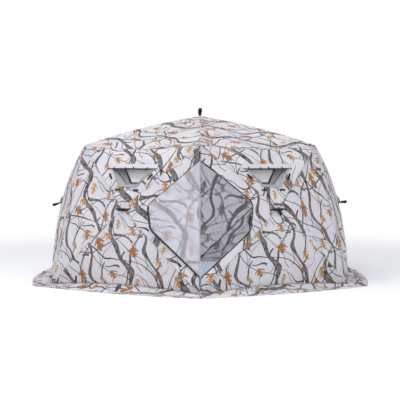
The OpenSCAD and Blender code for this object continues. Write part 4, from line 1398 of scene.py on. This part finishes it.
class TENT_OT_hubs(bpy.types.Operator):
    """Hood and pull strap over each wall hub, and the strap loop on the roof"""

    bl_idname = "tent.hubs"
    bl_label = "Hub hoods and straps"

    def execute(self, context):
        hoods, straps, edges = [], [], []
        for k in range(6):
            hoods.append(self.hood(k))
            edges += [self.mouth(k), self.patch(k)]
            straps += self.strap(k)
        hood = join("hub_hood_cloth", hoods)
        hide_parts("hub_hoods")
        strap = join("hub_strap_webbing", straps)
        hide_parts("hub_straps")
        edge = join("hub_hood_bindings", edges)
        loop = self.loop()
        for piece in (hood, strap, edge, loop):
            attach(piece, "shelter")
        return {"FINISHED"}

    def hub_place(self, k):
        return Place(wall_peak(k), wall_side(k), wall_up(k), wall_out(k))

    def drop(self, k, x, y):
        """How far the fabric lies behind the hub's plane at this place beside it."""
        place = self.hub_place(k)
        drops = []
        for facet in wall_facets(k):
            near = facet.point(0.08, 0.5)
            n = (facet.point(0.08, 1) - near).cross(facet.peak - near)
            drops.append((place.at(x, y) - near).dot(n) / place.z.dot(n))
        return max(drops)

    def cap_point(self, k, i, j):
        """i from the top of the dome to its rim on the fabric, j round its upper half."""
        z = sizes()
        r = (z.hood_r ** 2 + z.hood_deep ** 2) / (2 * z.hood_deep)
        reach, angle = z.hood_r * i, math.pi * j
        x, y = reach * math.cos(angle), reach * math.sin(angle)
        mean = self.drop(k, z.hood_r, 0) * (1 - i * i) + self.drop(k, x, y) * i * i
        height = z.hood_deep - r + math.sqrt(r * r - reach * reach) - mean
        pleat = 0.0016 * math.sin(angle * 9) * i * (1 - i) * 4
        return self.hub_place(k).at(x, y, height + pleat + 0.0014)

    def hood(self, k):
        place = self.hub_place(k)
        patch = grid_patch(lambda i, j: self.cap_point(k, i, j), 16, 48,
                           to_print=lambda p: (p.dot(place.x) + k * 0.31, p.dot(place.y) + k * 0.13),
                           to_seam=lambda i, j: ((1 - i) * 0.1, j * 0.33))
        return cloth("hood_%d" % k, [patch], 0.0016, PRINTED, out=wall_out(k))

    def mouth(self, k):
        """Binding along the hood's open lower edge."""
        path = [self.cap_point(k, abs(i) / 16, 0 if i > 0 else 1) for i in range(-16, 17)]
        return tube([p - wall_up(k) * 0.001 for p in path], 0.0036, "mouth_%d" % k, "webbing")

    def patch(self, k):
        """Black patch round the post, from under the hood to just below its mouth: painted shade, a
        dark sheet standing in for the shadowed mouth under the hood.
        """
        def point(i, j):
            x = (j - 0.5) * 0.192
            low = -0.030 * math.sqrt(max(0.0, 1 - (x / 0.098) ** 2))
            y = low + (0.046 - low) * i
            return self.hub_place(k).at(x, y, 0.0030 - self.drop(k, x, y))

        return cloth("patch_%d" % k, [grid_patch(point, 16, 40)], 0.0016, ["pocket"], out=wall_out(k))

    def strap(self, k):
        """Webbing folded over the hub's post; each lies as it fell, one tucked under its hood."""
        z = sizes()
        root = Place(wall_peak(k) + wall_out(k) * 0.0047, wall_side(k), wall_up(k), wall_out(k))
        stiff = [(0.014, 0.000), (0.0, 0.0), (-0.014, 0.018), (-0.030, 0.045), (-0.044, 0.070),
                 (-0.054, 0.088), (-0.060, 0.096)]
        falls = {
            0: [(0.014, 0.000), (0.0, 0.0), (-0.018, 0.003), (-0.034, 0.006), (-0.050, 0.008),
                (-0.064, 0.009), (-0.076, 0.006)],
            1: [(0.014, 0.000), (0.0, 0.0), (-0.010, 0.022), (-0.004, 0.048), (-0.014, 0.070),
                (-0.010, 0.088), (-0.022, 0.100)],
            5: [(0.030, 0.008), (0.016, 0.001), (0.0, 0.0), (-0.010, 0.002), (-0.016, 0.006),
                (-0.012, 0.010), (0.004, 0.012)],
        }
        drift = 0.0055 if k == 0 else 0.004 * math.sin(k * 1.7)
        path = curve_points([root.at(drift * n, y, out)
                             for n, (y, out) in enumerate(falls.get(k, stiff))], 28)
        twist = math.radians(58 if k in (1, 4) else 8)
        turns = [twist * min(1.0, max(0.0, i - 5) / 12) for i in range(28)]
        sides = [root.x * math.cos(a) + root.y * math.sin(a) for a in turns]
        one = ribbon(path, sides, z.strap_w, 0.0018, "strap_%d" % k, "webbing")
        back = []
        for i in range(8, 28):
            ahead = path[min(i + 1, 27)] - path[i - 1]
            back.append(path[i] + ahead.cross(sides[i]).normalized() * 0.0034)
        two = ribbon(back, sides[8:], z.strap_w * 0.96, 0.0016, "strap_back_%d" % k,
                     "webbing")
        return [one, two]

    def loop(self):
        """Strap loop over the roof hub, with the bar tack at its foot."""
        z = sizes()
        base = z.apex_h + 0.0105
        r = z.loop_w / 2
        half = [(0.005, 0.0), (0.012, 0.020), (r, 0.055), (r * 0.75, z.loop_h - 0.006)]
        knots = [(-x, h) for x, h in half] + [(0.0, z.loop_h)] + half[::-1]
        turn = math.radians(50)
        across = Vector((math.cos(turn), math.sin(turn), 0))
        broad = Vector((-math.sin(turn), math.cos(turn), 0))
        path = curve_points([across * x + broad * 0.003 * math.sin(h * 60) + UP * (base + h)
                             for x, h in knots], 49)
        strap = ribbon(path, [broad] * 49, 0.032, 0.0022, "strap_loop", "webbing")
        bar = [across * x + UP * (base + 0.018) for x in np.linspace(-0.012, 0.012, 5)]
        tack = tube(bar, 0.0030, "loop_tack", "webbing", flat=broad, squash=4.6)
        loop = join("roof_strap_loop", [strap, tack])
        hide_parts("roof_strap")
        return loop


class TENT_OT_door(bpy.types.Operator):
    """Doorway zip, corner bead, folded-back flap and its tape"""

    bl_idname = "tent.door"
    bl_label = "Door"

    def execute(self, context):
        self.zip()
        self.bead()
        self.flap()
        self.pulls()
        return {"FINISHED"}

    def zip(self):
        """Zip tape round the doorway, on the fabric."""
        z = sizes()
        facet = wall_facets(0)[2]
        _, seam_l = door_frame()
        wide = door_edge(0.002 + z.zip_w)
        rows = paired(spaced(door_edge(0.002), 0.02), door_edge(0.002), wide)

        def point(i, j):
            p, q = nth(rows, i)
            u, v = p.lerp(q, j)
            u = max(u, 0.006)
            s, t = facet.st(seam_l - v, u)
            edge = min(depth_in([(seam_l - v, u)], facet.corners())[0][0], j * z.zip_w)
            return facet.point(s, t) + facet.out * (0.0016 + folds(facet, seam_l - v, u, edge, 2.6))

        obj = cloth("door_zip_tape", [grid_patch(point, len(rows) - 1, 6)], 0.0012, ["zip_tape"], 1.0,
                    out=facet.out)
        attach(obj, "shelter")
        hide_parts("zip_track")

    def fold(self):
        """The fold line's foot, its direction, and the folded-back flap's frame."""
        place, _ = door_frame()
        up = place.y
        out = square_to(Vector((0, -1, 0)), up)
        a = place.x.angle(out) - math.radians(5.4)
        foot = place.origin + out * 0.012
        across = out * math.cos(a) + Vector((-1, 0, 0)) * math.sin(a)
        return Place(foot, across, up, across.cross(up)), out

    def bead(self):
        """White bead with its tail along the corner seam, where the flap folds."""
        place, out = self.fold()
        low, high = DOOR_SILL - 0.03, DOOR_TOP + 0.03
        path = [place.at(0, low + (high - low) * i / 60) for i in range(61)]
        core = tube(path, 0.004, "bead_core", "white_cloth", sides=12, flat=(1, 0, 0))
        tail = ribbon([p - out * 0.0062 for p in path], [out] * 61, 0.010, 0.0020, "bead_tail",
                      "white_cloth")
        bead = join("door_bead", [core, tail])
        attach(bead, "shelter")
        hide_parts("door_welt")

    def flap_outline(self, grow):
        return [(max(u, 0.0043), v) for u, v in door_edge(grow)]

    def flap_point(self, place, u, v, lift=0.0):
        """Place on the flap, on the side that shows when it is folded back. Its free upper corner
        hangs a little and lies in loose folds."""
        out = min(max(u, 0.0) / DOOR_HIGH[0], 1.0)
        low = DOOR_SILL + (DOOR_LOW[1] - DOOR_SILL) * out
        high = DOOR_TOP - (DOOR_TOP - DOOR_HIGH[1]) * out
        share = min(max((v - low) / (high - low), 0.0), 1.0)
        hang = FLAP_HANG * math.sin(out * math.pi * 0.62) ** 1.3 * share ** 1.5
        edge = min(1.0, max(u - 0.004, 0) / 0.05)
        bulge = 0.010 * math.sin(math.pi * min(u / FLAP_WIDE, 1.0))
        wave = noise.noise(Vector((u * 3.4, v * 1.6, 7.0))) * 0.010
        wave += noise.noise(Vector((u * 9.0, v * 3.2, 2.0))) * 0.004
        slack = math.sin((v - u * 0.75) * 26) * 0.008 * share * out ** 1.5
        return place.at(u, v - hang, -(edge * (bulge + max(wave + slack, -0.009))) - lift)

    def flap(self):
        place, _ = self.fold()
        outline = self.flap_outline(0.008)
        if area_sign(outline) < 0:
            outline = outline[::-1]
        border = [tuple(p) for p in spaced(outline, 0.022, closed=True)]
        flat, faces = fill(border, outline, None, 0.022)
        edge, along = depth_in(flat, outline)
        points = [self.flap_point(place, u, v) for u, v in flat]
        prints = [(-u + 0.11, v + 0.2) for u, v in flat]
        seams = [(max(d, 0) + 0.03, l) for d, l in zip(edge, along)]
        obj = cloth("door_flap_cloth", [(points, faces, prints, seams)], 0.0014, PRINTED[::-1],
                    out=-place.z)
        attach(obj, "flap")
        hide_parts("door_flap")
        self.flap_tape(place)

    def flap_tape(self, place):
        """Zip tape along the flap's edge, narrow above its outer corner."""
        wide, thin = self.flap_outline(0.008), self.flap_outline(0.008 - FLAP_TAPE)
        rows = paired(spaced(wide, 0.02), wide, thin)

        def point(i, j):
            p, q = nth(rows, i)
            u, v = p.lerp(q, j * (0.32 if p.y > 1.06 else 1.0))
            return self.flap_point(place, u, v, 0.0008)

        obj = cloth("door_flap_zip", [grid_patch(point, len(rows) - 1, 5)], 0.0014, ["zip_tape"], 1.0,
                    out=-place.z)
        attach(obj, "flap")
        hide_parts("door_flap_tape")

    def pulls(self):
        """Zip sliders at the sill and above the doorway, each with its pull tab."""
        place, out = self.fold()
        parts = []
        for n, v in enumerate((DOOR_SILL - 0.016, DOOR_TOP + 0.026 + 0.090)):
            root = Place(place.origin + place.y * v + out * 0.0066, Vector((1, 0, 0)), place.y, out)
            knots = [(0.0, 0.0, 0.0), (0.001, -0.030, 0.003), (-0.002, -0.060, 0.002),
                     (0.0, -0.088, 0.001)]
            path = curve_points([root.at(*p) for p in knots], 18)
            parts.append(ribbon(path, [root.x] * 18, 0.012, 0.0024, "pull_%d" % n, "webbing"))
            knob = [root.at(0, y, 0.0015) for y in np.linspace(0.004, -0.016, 6)]
            parts.append(tube(knob, 0.0032, "slider_%d" % n, "plastic", sides=12,
                              flat=(1, 0, 0), squash=1.9))
        pulls = join("zip_pull_tabs", parts)
        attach(pulls, "shelter")
        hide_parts("zip_pulls")


class TENT_OT_pocket(bpy.types.Operator):
    """Storage pocket inside the back wall, slack and open at its top"""

    bl_idname = "tent.pocket"
    bl_label = "Storage pocket"

    def execute(self, context):
        z = sizes()
        facet = wall_facets(2)[1]
        s = (0.300 + z.pocket_h / 2) / facet.height
        place = on_facet(facet, s, 0.5)
        place.origin = Vector(POCKET_SPOT)
        w, h, deep = z.pocket_w, z.pocket_h, z.pocket_deep

        def front(i, j):
            """i up the pocket and j across it."""
            x = (j - 0.5) * w
            side = (1 - abs(2 * j - 1) ** 5) ** 0.5
            low = min(1.0, i / 0.16)
            round_low = math.sqrt(max(0.0, 1 - (1 - low) ** 2))
            slack = (0.82 + 0.12 * math.sin(i * math.pi)
                     + 0.05 * noise.noise(Vector((j * 5, i * 2, 1.0))))
            return place.at(x, (i - 0.5) * h, -0.003 - (deep - 0.004) * side * round_low * slack)

        def back(i, j):
            return place.at((j - 0.5) * w, (i - 0.5) * h, -0.003)

        patches = [grid_patch(front, 24, 48, flip=True), grid_patch(back, 12, 24)]
        bag = cloth("pocket_front", patches, 0.0022, ["pocket"], 0.0, merge=1e-6)
        path = [front(1, j / 48) for j in range(49)]
        rim = tube(path, 0.0042, "pocket_rim", "webbing")
        pocket = join("storage_pocket_bag", [bag, rim])
        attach(pocket, "shelter")
        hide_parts("storage_pocket")
        return {"FINISHED"}


class TENT_OT_frame(bpy.types.Operator):
    """Finishes for the rods, hubs, ferrules, corner fittings and feet"""

    bl_idname = "tent.frame"
    bl_label = "Rods and hubs"

    def execute(self, context):
        finishes = {"rod": ["roof_rods"] + ["wall_rods_" + n for n in WALL_NAMES],
                    "plastic": ["roof_hub", "wall_hubs", "roof_ferrules", "wall_ferrules",
                                "eave_fittings", "corner_feet"]}
        for finish, names in finishes.items():
            for name in names:
                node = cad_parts[name]
                if not node.material_slots:
                    raise RuntimeError(name + " has no material slot")
                for slot in node.material_slots:
                    slot.material = material(finish)
        return {"FINISHED"}


class TENT_OT_stage(bpy.types.Operator):
    """Pale floor, soft studio light and the camera"""

    bl_idname = "tent.stage"
    bl_label = "Stage"

    def execute(self, context):
        deselect()
        bpy.ops.mesh.primitive_plane_add(size=600, location=(0, 0, 0))
        floor = context.active_object
        floor.name = "studio_floor_sheet"
        bpy.ops.object.mode_set(mode="EDIT")
        bpy.ops.mesh.subdivide(number_cuts=3)
        bpy.ops.object.mode_set(mode="OBJECT")
        dress(floor, "floor")
        self.lights(context)
        self.world(context)
        self.camera(context)
        context.scene.view_settings.view_transform = "Standard"
        return {"FINISHED"}

    def lights(self, context):
        for name, place, aim, size, power in LAMPS:
            light = bpy.data.lights.new(name, "AREA")
            light.shape = "SQUARE"
            light.size = size
            light.energy = power
            lamp = bpy.data.objects.new(name, light)
            context.scene.collection.objects.link(lamp)
            lamp.location = place
            lamp.rotation_euler = (Vector(aim) - Vector(place)).to_track_quat("-Z", "Y").to_euler()

    def world(self, context):
        """Soft light all round, and white where the camera looks past everything."""
        context.scene.world = bpy.data.worlds.new("Studio")
        t = Tree(context.scene.world)
        seen = t.node("LightPath", output="Is Camera Ray")
        seen = seen.most(t.node("LightPath", output="Is Transmission Ray"))
        soft = t.node("Background", None, {0: (0.985, 0.98, 1.0), 1: 0.62})
        white = t.node("Background", None, {0: (1.0, 1.0, 1.0), 1: 1.0})
        t.finish(t.blend(seen, soft, white), "World")

    def camera(self, context):
        data = bpy.data.cameras.new("Camera")
        data.sensor_width = 36.0
        data.lens = CAMERA_FOCAL * data.sensor_width
        camera = bpy.data.objects.new("Camera", data)
        context.scene.collection.objects.link(camera)
        camera.location = CAMERA_SPOT
        camera.rotation_euler = (math.radians(90 - CAMERA_DOWN), 0.0, 0.0)
        context.scene.camera = camera


class TENT_PT_panel(bpy.types.Panel):
    """Lists the pieces of the tent"""

    bl_label = "Ice Fishing Tent"
    bl_idname = "TENT_PT_panel"
    bl_space_type = "VIEW_3D"
    bl_region_type = "UI"
    bl_category = "Ice Tent"

    def draw(self, context):
        for step in STEPS:
            self.layout.operator(step)
        for group in (context.scene.tent_sizes, context.scene.tent_colours):
            box = self.layout.box()
            for key in group.__annotations__:
                box.prop(group, key)


STEPS = ["tent.walls", "tent.roof", "tent.skirt", "tent.windows", "tent.hubs", "tent.door",
         "tent.pocket", "tent.frame", "tent.stage"]
CLASSES = (TentSizes, TentColours, TENT_OT_walls, TENT_OT_roof, TENT_OT_skirt, TENT_OT_windows,
           TENT_OT_hubs, TENT_OT_door, TENT_OT_pocket, TENT_OT_frame, TENT_OT_stage, TENT_PT_panel)


def register():
    for cls in CLASSES:
        bpy.utils.register_class(cls)
    bpy.types.Scene.tent_sizes = bpy.props.PointerProperty(type=TentSizes)
    bpy.types.Scene.tent_colours = bpy.props.PointerProperty(type=TentColours)


def unregister():
    del bpy.types.Scene.tent_colours
    del bpy.types.Scene.tent_sizes
    for cls in reversed(CLASSES):
        bpy.utils.unregister_class(cls)


def main():
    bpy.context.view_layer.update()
    deselect()
    register()
    bpy.ops.tent.walls()
    bpy.ops.tent.roof()
    bpy.ops.tent.skirt()
    bpy.ops.tent.windows()
    bpy.ops.tent.hubs()
    bpy.ops.tent.door()
    bpy.ops.tent.pocket()
    bpy.ops.tent.frame()
    bpy.ops.tent.stage()


if __name__ == "__main__":
    main()
